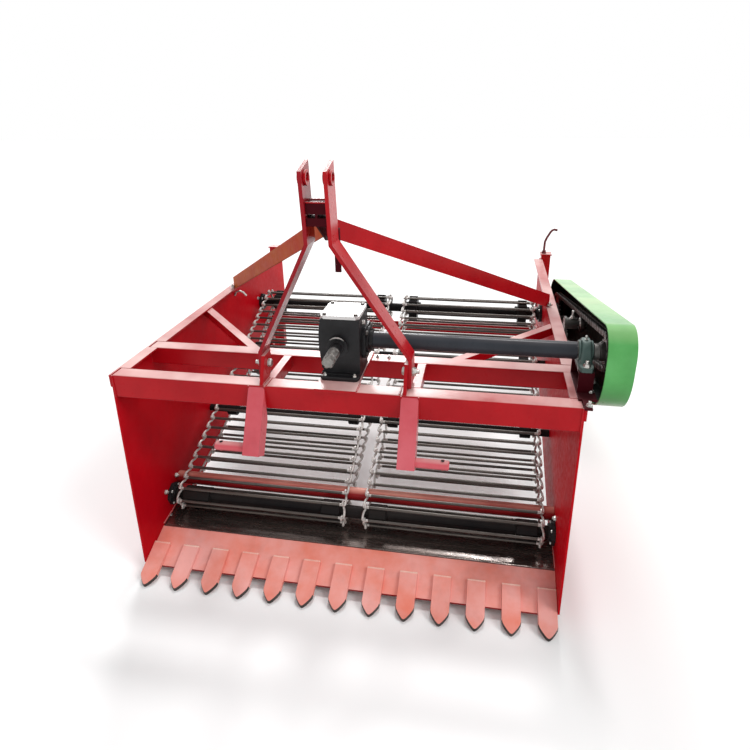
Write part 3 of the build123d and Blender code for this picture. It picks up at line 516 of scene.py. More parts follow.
# One rod's end, seen from its edge of the web: inward from the edge, toward the next rod, outward from the
# loop. It turns the corner, runs to the next rod and hooks round it from inside the loop.
hook_line = (
    (24, 0, 0), (9.5, 0, 0), (6.2, 0.8, 0), (4.7, 3.2, 0), (4.2, 8, -0.3), (4.6, 20, -1.6), (6.8, 32, -5),
    (9.2, 40, -9.2), (10.6, 47.5, -10.4), (11.2, 54.6, -7.4), (11.5, 57.7, 0), (11.7, 54.8, 7),
    (11.9, 48.5, 10.2), (12.1, 41.5, 8),
)
hook_radii = [ROD, ROD, 5, 4.6, 4.3] + [4.1] * 9
for side_name, x0, x1 in (("left", -660, -20), ("right", 38, 660)):
    bars, ends = bmesh.new(), bmesh.new()
    for i, (y, z, angle) in enumerate(rods):
        y2, z2, angle2 = rods[(i + 1) % len(rods)]
        step = hypot(y2 - y, z2 - z)
        forward = Vector((0, y2 - y, z2 - z)) / step

        def hook(edge, inward):
            """This rod's end at one edge of the web, as points."""
            line = []
            for inside, along, out in hook_line:
                share = min(max(along / PITCH, 0), 1)
                turn = angle + ((angle2 - angle + pi) % (2 * pi) - pi) * share
                outward = Vector((0, cos(turn), sin(turn)))
                move = forward * (along * step / PITCH) + outward * out
                line.append(at(edge + inward * inside, y, z) + move / 1000)
            return line

        left_end, right_end = hook(x0, 1), hook(x1, -1)
        sag = dice.uniform(-0.8, 0.8)
        middle = at((x0 + x1) / 2, y + sag * 0.5, z + sag)
        bar = [left_end[0], at(x0 + 120, y, z), middle, at(x1 - 120, y, z), right_end[0]]
        tube(bars, bar, ROD, 12)
        for line in (left_end, right_end):
            tube(ends, line, ROD, 9, radii=hook_radii)
    piece("rods_" + side_name, bars, "frame", "rod_steel", ["web_" + side_name])
    piece("rod_hooks_" + side_name, ends, "frame", "hook_steel")

# -------- rollers under the webs
SLEEVES = ((-637, -536), (-111, -43), (61, 123), (566, 637))
ROLLER_WIDTH = 40
ROLLER_SPANS = [(left, left + ROLLER_WIDTH) for left in (-611, -92.5, 67.5, 583.5)]


def roller(name, centre, shaft_r, barrel_r, spans, stands_for):
    """A shaft from plate to plate with barrels on it."""
    bm = bmesh.new()
    shaft = [(-INSIDE, shaft_r - 2), (2 - INSIDE, shaft_r), (INSIDE - 2, shaft_r), (INSIDE, shaft_r - 2)]
    lathe(bm, at(0, *centre), X, shaft)
    for x0, x1 in spans:
        profile = [(x0, shaft_r - 1), (x0, barrel_r - 2.5), (x0 + 2.5, barrel_r), (x1 - 2.5, barrel_r)]
        lathe(bm, at(0, *centre), X, profile + [(x1, barrel_r - 2.5), (x1, shaft_r - 1)], 48)
    piece(name, bm, "frame", "roller_black", [stands_for])


roller("nose_sleeves", NOSE, 22, NOSE_R, SLEEVES, "nose_roller")
roller("idler_wheels", IDLER, 14, IDLER_R, ROLLER_SPANS, "return_idler")


def under_web(y, drop):
    """The place a given distance under the web's upper run."""
    (y1, z1), (y2, z2), normal = belt(web_wheels)[0]
    return y - drop * cos(normal), z1 + (z2 - z1) * (y - y1) / (y2 - y1) - drop * sin(normal)


carrier_axes = [under_web(y, CARRIER_R + ROD + CLEAR) for y in (560, 900)]
carriers = bmesh.new()
for centre in carrier_axes:
    lathe(carriers, at(0, *centre), X, [(-INSIDE, 12), (-692, 14), (692, 14), (INSIDE, 12)], 28)
    for x0, x1 in ROLLER_SPANS:
        profile = [(x0, 13), (x0, 23), (x0 + 2, CARRIER_R), (x1 - 2, CARRIER_R), (x1, 23), (x1, 13)]
        lathe(carriers, at(0, *centre), X, profile, 36)
piece("carrier_wheels", carriers, "frame", "roller_black", ["carrier_rollers"])

# One tooth of a star wheel: angle from its middle, height over the valley between the teeth.
star_tooth = (
    (-0.30, -0.4), (-0.22, 0.6), (-0.15, 8), (-0.08, 11.6), (0.08, 11.6),
    (0.15, 8), (0.22, 0.6), (0.30, -0.4), (0.45, -0.6),
)
stars = bmesh.new()
lathe(stars, at(0, *DRIVE), X, [(-INSIDE, 17), (-691, 20), (788, 20), (791, 17)], 36)
rear_rod = max(rods)
star_turn = atan2(rear_rod[1] - DRIVE[1], rear_rod[0] - DRIVE[0]) + pi / STAR_TEETH
star_line = []
for i in range(STAR_TEETH):
    middle = star_turn + 2 * pi * i / STAR_TEETH
    for swing, reach in star_tooth:
        star_line.append(((STAR + reach) * cos(middle + swing), (STAR + reach) * sin(middle + swing)))
star_hub = [(-14, 20), (-14, 29), (-13, 30), (53, 30), (54, 29), (54, 20)]
for x0, x1 in ROLLER_SPANS:
    slab(stars, star_line, at(x0, *DRIVE), Y, Z, x1 - x0, 1.2)
    lathe(stars, at(x0, *DRIVE), X, star_hub, 30)
piece("drive_stars", stars, "frame", "roller_black", ["web_drive_shaft"])

# -------- roller chain and sprockets
CHAIN_X, CHAIN_PITCH = 766, 19.05
OUTPUT = (150, 853)  # (depth, height) of the gearbox's output axis; the chain leads from it to DRIVE
SMALL_R, LARGE_R = 49, 97  # pitch radii
LINK_T = 2.2  # a link plate's thickness
chain_wheels = [(*OUTPUT, SMALL_R), (*DRIVE, LARGE_R)]
links = stations(chain_wheels, CHAIN_PITCH)
half_circle = [pi / 2 + pi * k / 4 for k in range(5)]
chain = bmesh.new()
for i, (y, z, _) in enumerate(links):
    y2, z2, _ = links[(i + 1) % len(links)]
    forward = Vector((0, y2 - y, z2 - z)).normalized()
    outward = X.cross(forward)
    length = hypot(y2 - y, z2 - z)
    out = 8.6 if i % 2 else 5.8
    link_line = [(7.6 * cos(a), 8.4 * sin(a)) for a in half_circle] + [(length / 2, -6.6)]
    link_line += [(length - 7.6 * cos(a), -8.4 * sin(a)) for a in half_circle] + [(length / 2, 6.6)]
    for x in (out, -out - LINK_T):
        slab(chain, link_line, at(CHAIN_X + x, y, z), forward, outward, LINK_T, 0.3)
    lathe(chain, at(CHAIN_X, y, z), X, [(-5.6, 5.4), (-5, 6), (5, 6), (5.6, 5.4)], 12)
    lathe(chain, at(CHAIN_X, y, z), X, [(-11, 2.4), (-10.4, 3), (10.4, 3), (11, 2.4)], 8)
piece("roller_chain", chain, "frame", "dark_steel", ["drive_chain"], sharp=30)

# One tooth of a sprocket: share of the pitch from its middle, height over the pitch circle.
sprocket_tooth = (
    (-0.5, -6.2), (-0.32, -4.6), (-0.16, 1.0), (-0.06, 5.0), (0.06, 5.0), (0.16, 1.0), (0.32, -4.6),
)
for name, centre, radius, teeth, bore, stands_for in (
    ("small_sprocket", OUTPUT, SMALL_R, 16, 15, "drive_sprocket"),
    ("large_sprocket", DRIVE, LARGE_R, 32, 20, "driven_sprocket"),
):
    on_wheel = [p for p in links if abs(hypot(p[0] - centre[0], p[1] - centre[1]) - radius) < 0.5]
    lead = on_wheel[len(on_wheel) // 2]
    turn = atan2(lead[1] - centre[1], lead[0] - centre[0])
    step = 2 * pi / teeth
    outline = []
    for i in range(teeth):
        middle = turn + 2 * pi * (i + 0.5) / teeth
        for swing, reach in sprocket_tooth:
            a = middle + swing * step
            outline.append(((radius + reach) * cos(a), (radius + reach) * sin(a)))
    sprocket = bmesh.new()
    slab(sprocket, outline, at(CHAIN_X - 4.8, *centre), Y, Z, 9.6, 1.0)
    hub = radius * 0.55
    hub_line = [(-22, bore), (-22, hub - 2), (-20, hub), (8, hub), (9.5, hub - 1.5), (9.5, bore)]
    lathe(sprocket, at(CHAIN_X, *centre), X, hub_line, 36)
    bolt(sprocket, at(CHAIN_X - 14, centre[0], centre[1] + hub - 1), Z, 7, washer=False)
    piece(name, sprocket, "frame", "dark_steel", [stands_for])

# -------- gearbox
STUB_X, STUB_Z = 6, 858  # the input axis, which runs along the depth
SPLINES = 6
stub = bmesh.new()
spline_lines = []
for y, root, tip in (
    (-45, 12.5, 14.0), (-43, 14.5, 17.2), (-24, 14.5, 17.2), (-22.5, 13.5, 14.4), (-16.5, 13.5, 14.4),
    (-15, 14.5, 17.2), (20, 14.5, 17.2), (24, 17.2, 17.2), (26, 17.2, 17.2),
):
    spline = ((-0.36, root), (-0.25, root), (-0.24, tip), (0, tip), (0.24, tip), (0.25, root), (0.36, root))
    loop = []
    for i in range(SPLINES):
        for swing, radius in spline:
            a = 2 * pi * (i + 0.15) / SPLINES + swing
            loop.append(at(STUB_X + radius * cos(a), y, STUB_Z + radius * sin(a)))
    spline_lines.append(loop)
rings(stub, spline_lines)
piece("splined_stub", stub, "pto_shaft", "bare_steel", ["pto_shaft"], sharp=25)

collar = bmesh.new()
collar_line = [(0, 12), (0, 20.8), (14, 20.8), (15, 20), (15, 17.4), (50, 17.4), (51, 16.6), (51, 12)]
lathe(collar, at(STUB_X, 76, STUB_Z), -Y, collar_line, 40)
piece("stub_root", collar, "pto_shaft", "black_cast")

# A pale steel crescent along the top edge of the gearbox's front boss: a painted highlight.
boss_highlight = bmesh.new()
swings = [radians(a) for a in range(46, 139, 8)]
crescent = [at(STUB_X + 30 * cos(a), 63.8, STUB_Z + 30 * sin(a)) for a in swings]
tube(boss_highlight, crescent, 2, 8, radii=[0.5, 1.1, 1.7, 2.1, 2.4, 2.5, 2.5, 2.3, 1.9, 1.4, 0.9, 0.5])
piece("boss_painted_highlight", boss_highlight, "frame", "hook_steel")

cast = bmesh.new()
foot_line = [(-45, 62), (-47, 58), (-44, 49), (-36, 45), (61, 45), (69, 49), (72, 58), (70, 62)]
slab(cast, foot_line, at(0, 0, 758.2), X, Y, 12.5, 2.5)
block(cast, (-50, 90, 776), (-44, 100, 826), 1.5)
block(cast, (-50, 172, 776), (-44, 182, 826), 1.5)
rear_cap = [(0, 30), (0, 40), (3, 40), (4, 39), (4, 30), (2.5, 26), (2.5, 5)]
lathe(cast, at(12.5, 199, STUB_Z), Y, rear_cap, 36)
lathe(cast, at(82, *OUTPUT), X, [(0, 33), (0, 42), (5, 42), (6.5, 40.5), (6.5, 33)], 40)
for ry, rz in ((0, 1), (0, -1), (1, 0), (-1, 0)):
    foot = at(88, OUTPUT[0] + ry * 34, OUTPUT[1] + rz * 34)
    head = at(97, OUTPUT[0] + ry * 31, OUTPUT[1] + rz * 31)
    tube(cast, [foot, head], 3, 8)
piece("gearbox_bosses", cast, "frame", "black_cast")

lid = bmesh.new()
lid_line = [(-42, 78), (67, 78), (68, 79), (68, 196), (67, 197), (-42, 197), (-43, 196), (-43, 79)]
slab(lid, lid_line, at(0, 0, 948.6), X, Y, 1.3, 0.5)
piece("gearbox_lid_face", lid, "frame", "cover_steel")

box_bolts = bmesh.new()
for x in (-34, 59):
    for y in (88, 187):
        bolt(box_bolts, at(x, y, 950), Z, 7, washer=False, turn=0.3 * x)
for y, z in ((117, 820), (117, 886), (183, 820), (183, 886)):
    bolt(box_bolts, at(82, y, z), X, 8, turn=0.1 * y)
piece("gearbox_bolts", box_bolts, "frame", "dark_steel")

pale_bolts = bmesh.new()
for x in (-32, 57):
    bolt(pale_bolts, at(x, 56, 770.5), Z, 6, stub=4, turn=0.2)
bolt(pale_bolts, at(70, 128, 914), X, 9)
for x in (91, 128):
    bolt(pale_bolts, at(x, 247, 750), Z, 6, stub=5, turn=0.01 * x)
piece("gearbox_studs", pale_bolts, "frame", "zinc")

# -------- outer bearing
BEARING_X = 707
# The housing, from its foot up: height over the foot, half width, half depth.
HOUSING = (
    (0, 21, 70), (12, 21, 70), (14, 20, 68), (16, 18, 50),
    (34, 16, 42), (52, 14, 35), (66, 12, 26), (71, 11, 18),
)
unit = bmesh.new()
loops = []
for rise_z, half_x, half_y in HOUSING:
    loop = []
    for a in [radians(degrees) for degrees in range(15, 360, 30)]:
        # Powers under 1 push the points of a circle out toward a square's corners.
        px, py = (copysign(abs(part) ** 0.35, part) for part in (cos(a), sin(a)))
        loop.append(at(BEARING_X + half_x * px, OUTPUT[0] + half_y * py, 816 + rise_z))
    loops.append(loop)
rings(unit, loops)
for x in (690, 724):
    lathe(unit, at(x, *OUTPUT), X, [(-3, 17), (-3, 29), (-1.5, 31), (1.5, 31), (3, 29), (3, 17)], 36)
piece("bearing_block", unit, "frame", "bearing_paint", ["output_bearing"])
fittings = bmesh.new()
for y, lower_y in ((92, 86), (208, 214)):
    bolt(fittings, at(BEARING_X, y, 830), Z, 11, stub=8, turn=0.4)
    bolt(fittings, at(725, lower_y, 756), Z, 9, turn=0.2)
nipple = [(0, 5), (3, 5), (3, 3), (8, 3), (9, 4.2), (12, 4.2), (14, 2)]
lathe(fittings, at(BEARING_X, OUTPUT[0], 886), Z, nipple, 12)
bolt(fittings, at(728, 96, 785), X, 9, turn=0.3)
bolt(fittings, at(728, 200, 785), X, 9, turn=0.1)
bolt(fittings, at(709, 4, 756), Z, 9, stub=7, turn=0.5)
bolt(fittings, at(712, 70, 736), X, 8)
bolt(fittings, at(712, 200, 736), X, 8)
piece("bearing_bolts", fittings, "frame", "zinc")

# -------- chain tensioner
low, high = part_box("chain_tensioner")
wheel_y = (low.y + high.y) / 2 * 1000 - BEAM_Y
wheel_z = high.z * 1000 - 28
tension = bmesh.new()
hub_line = [(-9, 12), (-9, 20), (-7, 22), (-5.2, 22), (-5.2, 27.5), (5.2, 27.5), (5.2, 22), (9, 20), (9, 12)]
lathe(tension, at(CHAIN_X, wheel_y, wheel_z), X, hub_line, 36)
bolt(tension, at(CHAIN_X + 9, wheel_y, wheel_z), X, 11)
bolt(tension, at(734, wheel_y, wheel_z + 19.5), Z, 9, stub=20)
bolt(tension, at(714, wheel_y - 14, 728), X, 10)
bolt(tension, at(714, wheel_y + 14, 728), X, 10)
piece("tensioner_wheel", tension, "frame", "zinc")

# -------- chain guard
guard = [(94, 884, 72), (*DRIVE, 165), (172, 840, 150)]  # wheels whose belt is the guard's outline


def loop_line(wheels, x):
    """Points along the belt round the wheels at one x, about 8 mm apart on the bends."""
    spans = belt(wheels)
    line = []
    for here, there, wheel in zip(spans, spans[1:] + spans[:1], wheels[1:] + wheels[:1]):
        line.append(at(x, *here[0]))
        line.append(at(x, *here[1]))
        turn = (here[2] - there[2]) % (2 * pi)
        count = max(2, ceil(wheel[2] * turn / 8))
        for k in range(1, count):
            a = here[2] - turn * k / count
            line.append(at(x, wheel[0] + wheel[2] * cos(a), wheel[1] + wheel[2] * sin(a)))
    return line


hem = bmesh.new()
tube(hem, loop_line([(y, z, r - 2.2) for y, z, r in guard], 743.6), 2.2, 8, closed=True)
tube(hem, loop_line([(y, z, r - 1.8) for y, z, r in guard], 813.4), 1.8, 8, closed=True)
piece("guard_hem", hem, "frame", "green_paint")
# A near-black sheet just inside the guard's walls: painted shade for its dark inside.
shade_sheet = bmesh.new()
inner_wheels = [(y, z, r - 3.5) for y, z, r in guard]
rings(shade_sheet, [loop_line(inner_wheels, 746), loop_line(inner_wheels, 811.5)], cap=False)
outer_edges = [e for e in shade_sheet.edges if e.is_boundary and e.verts[0].co.x > 0.8]
bmesh.ops.contextual_create(shade_sheet, geom=outer_edges)
piece("guard_inner_shade", shade_sheet, "frame", "guard_inner_shade")
guard_bolts = bmesh.new()
for y in (760, 1080):
    z = OUTPUT[1] + (y - OUTPUT[0]) * (DRIVE[1] - OUTPUT[1]) / (DRIVE[0] - OUTPUT[0])
    bolt(guard_bolts, at(812, y, z), -X, 10)
    lathe(guard_bolts, at(OUTSIDE, y, z), X, [(0, 10), (0, 17), (3.5, 17), (4.5, 16), (4.5, 10)], 24)
piece("guard_bolts", guard_bolts, "frame", "zinc")

# -------- hitch
PIN_FOOT, PIN_HOLE = 252, 328  # distances from the middle of the machine
low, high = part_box("hitch_pin_right")
pin_y = (low.y + high.y) / 2 * 1000 - BEAM_Y
pin_z = (low.z + high.z) / 2 * 1000
pin_line = [(0, 14), (91, 14), (94.5, 11), (94.5, 0.5)]
hole_rim = [(0, 5.4), (0.8, 6.4), (0.8, 7.2), (0, 8)]
pins, hole_shade = bmesh.new(), bmesh.new()
for sign in (-1, 1):
    lathe(pins, at(sign * PIN_FOOT, pin_y, pin_z), X * sign, pin_line, 40)
    hole = at(sign * PIN_HOLE, pin_y, pin_z)
    for face in (1, -1):
        lathe(pins, hole + Vector((0, 0, face * 13.3 / 1000)), Z * face, hole_rim, 20, closed=True)
    # The pins' cross bores are not cut: a black rod through each pin stands for the shade inside the bore.
    lathe(hole_shade, at(sign * PIN_HOLE, pin_y, pin_z - 14.05), Z, [(0, 5.2), (28.1, 5.2)], 20)
piece("hitch_pins", pins, "frame", "post_red", ["hitch_pin_left", "hitch_pin_right"])
piece("pin_hole_shade", hole_shade, "frame", "roller_black")

link_rings = bmesh.new()
ring_line = [(-6, 13.1), (-6, 18.5), (-5, 19.5), (-1, 19.5), (0, 18.5), (0, 13.1)]
for x in (-37, -21, 27, 43):
    lathe(link_rings, at(x, -37, 1350), X, ring_line, 36, closed=True)
piece("top_link_rings", link_rings, "frame", "red_paint")

hitch_bolts = bmesh.new()
for sign in (-1, 1):
    bolt(hitch_bolts, at(sign * 207, 62, 797), X * -sign, 13, turn=0.2)
    bolt(hitch_bolts, at(sign * 227, 62, 797), X * sign, 13, stub=8)
bolt(hitch_bolts, at(3, 40, 1262), X, 10)
bolt(hitch_bolts, at(-3, 40, 1262), -X, 10, stub=5)
for sign in (-1, 1):
    bolt(hitch_bolts, at(sign * 676, 880 if sign < 0 else 812, 756), Z, 9, stub=6)
bolt(hitch_bolts, at(30, 33, 1126), Y, 7)
piece("hitch_bolts", hitch_bolts, "frame", "zinc")

# -------- bolts on the plates, clip and hooks
plate_bolts = bmesh.new()
for sign, places in (
    (-1, ((238, 213), (156, 196), (161, 85))),
    (1, ((287, 180), (207, 213), (211, 45))),
):
    for y, z in places:
        bolt(plate_bolts, at(sign * INSIDE, y, z), X * -sign, 9, stub=4)
        bolt(plate_bolts, at(sign * OUTSIDE, y, z), X * sign, 9)
for sign in (-1, 1):
    for centre in (NOSE, DRIVE):
        for degrees in (45, 135, 225, 315):
            a = radians(degrees)
            y, z = centre[0] + 34 * cos(a), centre[1] + 34 * sin(a)
            bolt(plate_bolts, at(sign * 682, y, z), X * -sign, 6, washer=False)
            if centre is NOSE or sign < 0:
                bolt(plate_bolts, at(sign * OUTSIDE, y, z), X * sign, 6)
    for y in (1350, 1400):
        bolt(plate_bolts, at(sign * OUTSIDE, y, 417), X * sign, 8)
    for centre in (*carrier_axes, IDLER):
        bolt(plate_bolts, at(sign * OUTSIDE, *centre), X * sign, 9, stub=5)
    for y in (300, 620, 940, 1260):
        bolt(plate_bolts, at(sign * 706, y, 730), X * sign, 7)
bolt(plate_bolts, at(-INSIDE, 1190, 600), X, 8)
piece("plate_bolts", plate_bolts, "frame", "zinc")

cap_line = [(0, 30), (4, 30), (6, 28), (6, 24), (13, 22), (15, 19), (15, 2)]
caps = bmesh.new()
for sign, centre in ((-1, NOSE), (1, NOSE), (-1, DRIVE)):
    lathe(caps, at(sign * OUTSIDE, *centre), X * sign, cap_line, 32)
piece("bearing_caps", caps, "frame", "black_cast")

bits = bmesh.new()
clip = [at(-692, 925, 702), at(-684, 925, 718), at(-668, 927, 724), at(-652, 930, 716), at(-640, 932, 700)]
for shift in (0, 3):
    tube(bits, [p + Vector((0, shift / 1000, 0)) for p in clip], 4.0, 8)
for y, z in ((1296, 600), (1340, 556), (1386, 511)):
    line = [at(692, y, z), at(680, y, z + 2), at(672, y + 2, z - 4)]
    line += [at(671, y + 4, z - 14), at(676, y + 5, z - 20)]
    tube(bits, line, 4.5, 9)
    bolt(bits, at(INSIDE, y + 18, z + 16), -X, 7)
piece("clip_and_hooks", bits, "frame", "zinc")

# -------- teeth of the blade
BLADE_FRONT, BLADE_REAR = (-25, 30), (107, 84)  # depth and height of the edges of its top face
slope = atan2(BLADE_REAR[1] - BLADE_FRONT[1], BLADE_REAR[0] - BLADE_FRONT[0])
up_slope, off_face = Vector((0, cos(slope), sin(slope))), Vector((0, -sin(slope), cos(slope)))
TEETH, TOOTH_WIDTH, TOOTH_REAR = 13, 60, 74
tooth_middles = [(i - TEETH // 2) * (2 * INSIDE - TOOTH_WIDTH) / (TEETH - 1) for i in range(TEETH)]
# Half outlines of a tooth: at its foot, and at its top face.
tooth_half = (
    (30, TOOTH_REAR), (30, 0), (30, -38), (28.2, -47), (21, -59), (11.5, -71), (5, -77), (1.5, -78.7),
)
inset_half = (
    (29, TOOTH_REAR - 1), (29, 0), (28.6, -37), (26.4, -45),
    (19, -56.6), (10, -67.8), (4.2, -73.4), (1.3, -74.8),
)
full = [*tooth_half, *[(-a, b) for a, b in reversed(tooth_half)]]
inset = [*inset_half, *[(-a, b) for a, b in reversed(inset_half)]]
tip = slice(2, len(full) - 2)


def tooth_point(x, a, b, h):
    """From the top of the blade's front edge at x: a along the edge, b up the slope, h off the face."""
    return at(x, *BLADE_FRONT) + (X * a + up_slope * b + off_face * h) / 1000


layers = ((full, 0.25), (full, 3.5), (inset, 12))
teeth, edges = bmesh.new(), bmesh.new()
for x in tooth_middles:
    rings(teeth, [[tooth_point(x, a, b, h) for a, b in line] for line, h in layers])
    base = [tooth_point(x, a * 1.005, b - 0.15, 0.2) for a, b in full[tip]]
    lower = [tooth_point(x, a * 1.005, b - 0.15, 3.2) for a, b in full[tip]]
    upper = [tooth_point(x, a, b - 0.25, 12.15) for a, b in inset[tip]]
    for low_line, high_line in ((base, lower), (lower, upper)):
        row_low = [edges.verts.new(p) for p in low_line]
        row_high = [edges.verts.new(p) for p in high_line]
        for k in range(len(row_low) - 1):
            edges.faces.new((row_low[k], row_low[k + 1], row_high[k + 1], row_high[k]))
# A thin sheet of the darker plate red over the blade's front face: painted shade, so that face reads darker
# than the lit blade top.
front_shade = bmesh.new()
corners = ((-0.35, -9.8), (0.2, -9.8), (0.2, -0.4), (-0.35, -0.4))
rings(front_shade, [[tooth_point(x, 0, b, h) for b, h in corners] for x in (-693.6, 693.6)])
piece("blade_front_edge", front_shade, "frame", "plate_red")
piece("blunt_teeth", teeth, "frame", "lit_blade_red", ["blade_teeth"])
piece("ground_edges", edges, "frame", "edge_steel")

# -------- weld beads
welds = bmesh.new()
for sign in (-1, 1):
    plate, post, mast = sign * INSIDE, sign * 227, sign * 207
    bead(welds, at(plate, -1, 675), at(plate, -1, 750), 3)
    bead(welds, at(plate, 219, 692), at(plate, 219, 749), 2.4)
    bead(welds, at(plate, 274, 692), at(plate, 274, 749), 2.4)
    bead(welds, at(plate - sign, 262, 166), at(plate - sign, 286, 190), 2.4)
    for x in (post - 25, post + 25):
        bead(welds, at(x, -1, 690), at(x, -1, 748), 2.4)
    bead(welds, at(post - 25, -1, 672), at(post + 25, -1, 672), 2.8)
    for x in (mast, mast - sign * 10):
        bead(welds, at(x, 2, 751), at(x, 54, 751), 2.4)
    bead(welds, at(sign * 316, 275, 743.5), at(sign * 352, 275, 743.5), 2.2)
    bead(welds, at(sign * 693, 630, 744), at(sign * 693, 672, 744), 2.2)
    brace_front, brace_rear = (880, 905) if sign < 0 else (812, 838)
    bead(welds, at(sign * 666, brace_front, 751), at(sign * 690, brace_rear, 751), 2.6)
    bead(welds, at(sign * OUTSIDE, 1544, 500), at(sign * OUTSIDE, 1544, 742), 2.4)
    bead(welds, at(sign * 693.4, 110, 90), at(sign * 693.4, 233, 108), 2.6)
for stringer in (-202, 238):
    for x in (stringer - 12.5, stringer + 12.5):
        bead(welds, at(x, 56, 712), at(x, 56, 749), 2)
        bead(welds, at(x, 218, 712), at(x, 218, 749), 2)
for x in (-48.5, 73.5):
    bead(welds, at(x, 2, 751), at(x, 54, 751), 2.2)
    bead(welds, at(x, 221, 751), at(x, 272, 751), 2.2)
for y in (-53, -3):
    bead(welds, at(-26, y, 1292.5), at(26, y, 1292.5), 2.4)
piece("weld_beads", welds, "frame", "red_paint", sharp=60)

blade_weld = bmesh.new()
for x in tooth_middles:
    for height, radius in ((2.5, 4.0), (8.8, 4.4)):
        ends = [tooth_point(x, a, TOOTH_REAR + 1, height) for a in (-29, 29)]
        bead(blade_weld, *ends, radius)
piece("tooth_welds", blade_weld, "frame", "weld_red", sharp=60)

# -------- rear crank, posts and wheels
WHEEL_X, WHEEL_Y, WHEEL_Z = 813.5, 1567.5, 205
CRANK_X = 712.5
crank = bmesh.new()
path = [(0, 0), (0, 30), (1, 58), (8, 78), (24, 108), (31, 117), (40, 121), (56, 118)]
tube(crank, [at(CRANK_X + x, WHEEL_Y, 776 + z) for x, z in path], 5.6, 12)
lathe(crank, at(CRANK_X, WHEEL_Y, 776), Z, [(0, 12), (4, 12), (6, 10), (14, 10), (15, 8), (15, 4)], 24)
piece("crank_rod", crank, "frame", "crank_red", ["height_crank"])

post_bits = bmesh.new()
for sign in (-1, 1):
    for z in (470, 520):
        bolt(post_bits, at(sign * 745, WHEEL_Y, z), X * sign, 11)
    bolt(post_bits, at(sign * 722.5, 1590, 500), Y, 11, stub=10)
piece("post_bolts", post_bits, "frame", "zinc")

# Profiles of the wheel about its axle: distance from the wheel's middle plane, radius.
ribs = []
for middle in (-30, 0, 30):
    ribs += [(middle - 9, 194), (middle - 7.5, 202.5), (middle - 6, 204.6)]
    ribs += [(middle + 6, 204.6), (middle + 7.5, 202.5), (middle + 9, 194)]
wall = [(-44, 122), (-50, 140), (-52.3, 158), (-51, 176), (-47, 188), (-42, 194)]
tyre_line = [(-42, 116), *wall, *ribs, *[(-a, r) for a, r in reversed(wall)]]
tyre_line += [(42, 116), (42, 110.4), (37, 110.2), (-37, 110.2), (-42, 110.4)]
rim_line = [
    (-44, 113), (-44, 116), (-42.5, 117.5), (-41, 116), (-40.6, 110), (-36, 109.6), (-30, 106), (-12, 98),
    (12, 98), (30, 106), (36, 109.6), (40.6, 110), (41, 116), (42.5, 117.5), (44, 116), (44, 113),
    (40, 106), (32, 102), (14, 94), (4, 93), (4, 60), (10, 54), (10, 32), (4, 30), (4, 15.4),
    (-4, 15.4), (-4, 30), (2, 34), (2, 52), (-4, 60), (-4, 93), (-14, 94), (-32, 102), (-40, 106),
]
axle_hub = [(-38, 15.4), (-38, 26), (-35, 29), (35, 29), (38, 26), (38, 15.4)]
valve_line = [(0, 4.5), (4, 4.5), (5, 3), (20, 3), (21, 4), (27, 4), (28, 3)]
TREAD_BARS, WHEEL_STUDS, VALVE_TURN = 36, 5, 1.1
for word, sign, stud_x in (("left", -1, -2), ("right", 1, 10)):
    body = "wheel_" + word
    centre = at(sign * WHEEL_X, WHEEL_Y, WHEEL_Z)
    tyre = bmesh.new()
    lathe(tyre, centre, X, tyre_line, 72, closed=True)
    for k in range(TREAD_BARS):
        a = 2 * pi * k / TREAD_BARS
        direction = Vector((0, cos(a), sin(a)))
        for face in (-1, 1):
            start = centre + (X * face * 48.5 + direction * 182) / 1000
            tube(tyre, [start, centre + (X * face * 43.5 + direction * 192) / 1000], 2.4, 6)
    piece("tyre_ribbed_" + word, tyre, body, "tyre", ["tyre_" + word])

    rim = bmesh.new()
    lathe(rim, centre, X, rim_line, 64, closed=True)
    lathe(rim, centre, X, axle_hub, 36, closed=True)
    piece("rim_pressed_" + word, rim, body, "red_paint", ["wheel_rim_" + word])

    studs = bmesh.new()
    for k in range(WHEEL_STUDS):
        a = 2 * pi * k / WHEEL_STUDS + 0.3
        place = centre + (Vector((0, cos(a), sin(a))) * 43) / 1000
        bolt(studs, place + X * stud_x / 1000, X * sign, 9, stub=5)
    valve = centre + (Vector((0, cos(VALVE_TURN), sin(VALVE_TURN))) * 84) / 1000
    lathe(studs, valve + X * sign * 4 / 1000, X * sign, valve_line, 12)
    piece("wheel_studs_" + word, studs, body, "zinc")

    end = bmesh.new()
    washer = at(sign * (WHEEL_X + 38.4), WHEEL_Y, WHEEL_Z)
    lathe(end, washer, X * sign, [(0, 15.2), (0, 23), (1.2, 23), (1.6, 22), (1.6, 15.2)], 28)
    nut = at(sign * (WHEEL_X + 40), WHEEL_Y, WHEEL_Z)
    tube(end, [nut + Vector((-sign * 0.004, 0, z)) for z in (-0.019, 0.019)], 2.4, 8)
    piece("axle_pin_" + word, end, "wheel_leg_" + word, "zinc")

# -------- camera, floor and light
FOCAL_PX, PICTURE_PX = 583.4, 750
cam_data = bpy.data.cameras.new("camera")
cam_data.sensor_width = 36
cam_data.lens = FOCAL_PX / PICTURE_PX * cam_data.sensor_width
cam_data.shift_x = -0.005467
cam_data.shift_y = -0.0524
cam_data.clip_start = 0.05
camera = bpy.data.objects.new("camera", cam_data)
bpy.context.scene.collection.objects.link(camera)
yaw, pitch, roll = 0.1826, 0.3907, -0.0172
ahead = Vector((-sin(yaw) * cos(pitch), cos(yaw) * cos(pitch), -sin(pitch)))
level_right = Vector((cos(yaw), sin(yaw), 0))
level_up = level_right.cross(ahead)
cam_right = cos(roll) * level_right + sin(roll) * level_up
cam_up = cos(roll) * level_up - sin(roll) * level_right
stance = Matrix((cam_right, cam_up, -ahead)).transposed().to_4x4()
stance.translation = at(408.1, -1439.2, 1531.6)
camera.matrix_world = stance
bpy.context.scene.camera = camera

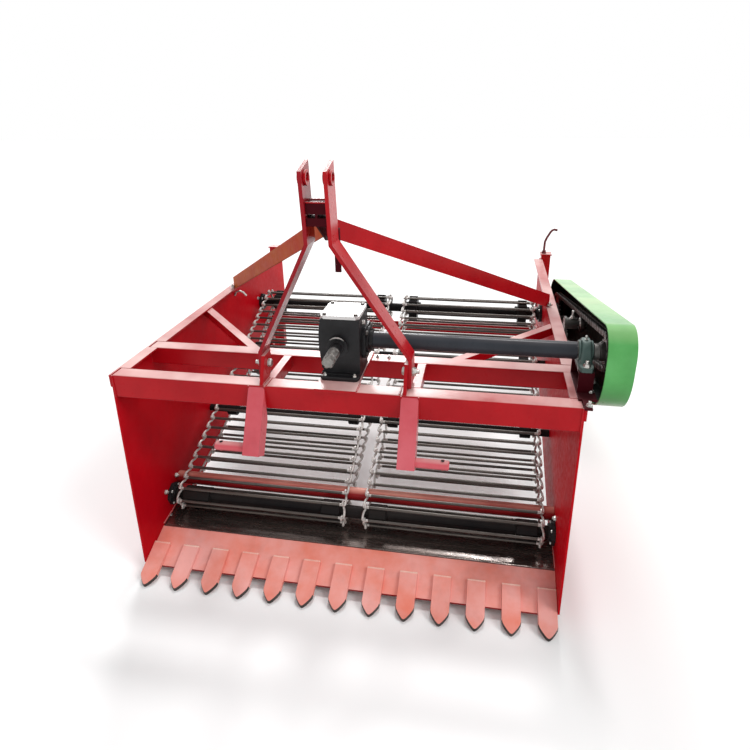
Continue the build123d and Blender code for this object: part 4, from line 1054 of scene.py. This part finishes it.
floor_mesh = bpy.data.meshes.new("floor")
floor_bm = bmesh.new()
bmesh.ops.create_grid(floor_bm, x_segments=2, y_segments=2, size=20)
floor_bm.to_mesh(floor_mesh)
floor_bm.free()
floor = bpy.data.objects.new("floor", floor_mesh)
bpy.context.scene.collection.objects.link(floor)
floor.location.z = -0.0004
ground = bpy.data.materials.new("floor")
ground.use_nodes = True
shader = ground.node_tree.nodes["Principled BSDF"]
shader.inputs["Base Color"].default_value = (0.93, 0.93, 0.93, 1)
shader.inputs["Roughness"].default_value = 0.9
shader.inputs["Specular IOR Level"].default_value = 0.1
floor_mesh.materials.append(ground)

world = bpy.data.worlds.new("world")
world.use_nodes = True
tree = world.node_tree
sky = tree.nodes["Background"]
sky.inputs[0].default_value = (1, 1, 1, 1)
paths = tree.nodes.new("ShaderNodeLightPath")
rays = [paths.outputs[ray] for ray in ("Is Camera Ray", "Is Glossy Ray", "Is Transmission Ray")]
seen = rays[0]
for ray in rays[1:]:
    both = tree.nodes.new("ShaderNodeMath")
    both.operation = "MAXIMUM"
    tree.links.new(seen, both.inputs[0])
    tree.links.new(ray, both.inputs[1])
    seen = both.outputs[0]
# The sky is full white where it is seen or mirrored, and weaker as a light.
level_of_sky = tree.nodes.new("ShaderNodeMapRange")
level_of_sky.inputs["To Min"].default_value = 0.60
level_of_sky.inputs["To Max"].default_value = 1.0
tree.links.new(seen, level_of_sky.inputs["Value"])
tree.links.new(level_of_sky.outputs[0], sky.inputs[1])
bpy.context.scene.world = world

# Each row: name, direction toward the lamp, its width in degrees, its strength.
for name, toward, spread, power in (
    ("right", (0.70, -0.24, 0.66), 26, 1.15),
    ("behind", (-0.20, 0.86, 0.44), 17, 1.55),
    ("high_behind", (0.045, 0.505, 0.862), 8, 0.90),
):
    lamp = bpy.data.lights.new(name, "SUN")
    lamp.energy, lamp.angle = power, radians(spread)
    lamp_object = bpy.data.objects.new(name, lamp)
    bpy.context.scene.collection.objects.link(lamp_object)
    lamp_object.rotation_euler = Vector(toward).to_track_quat("Z", "Y").to_euler()

bpy.context.scene.view_settings.view_transform = "Standard"
bpy.context.view_layer.update()
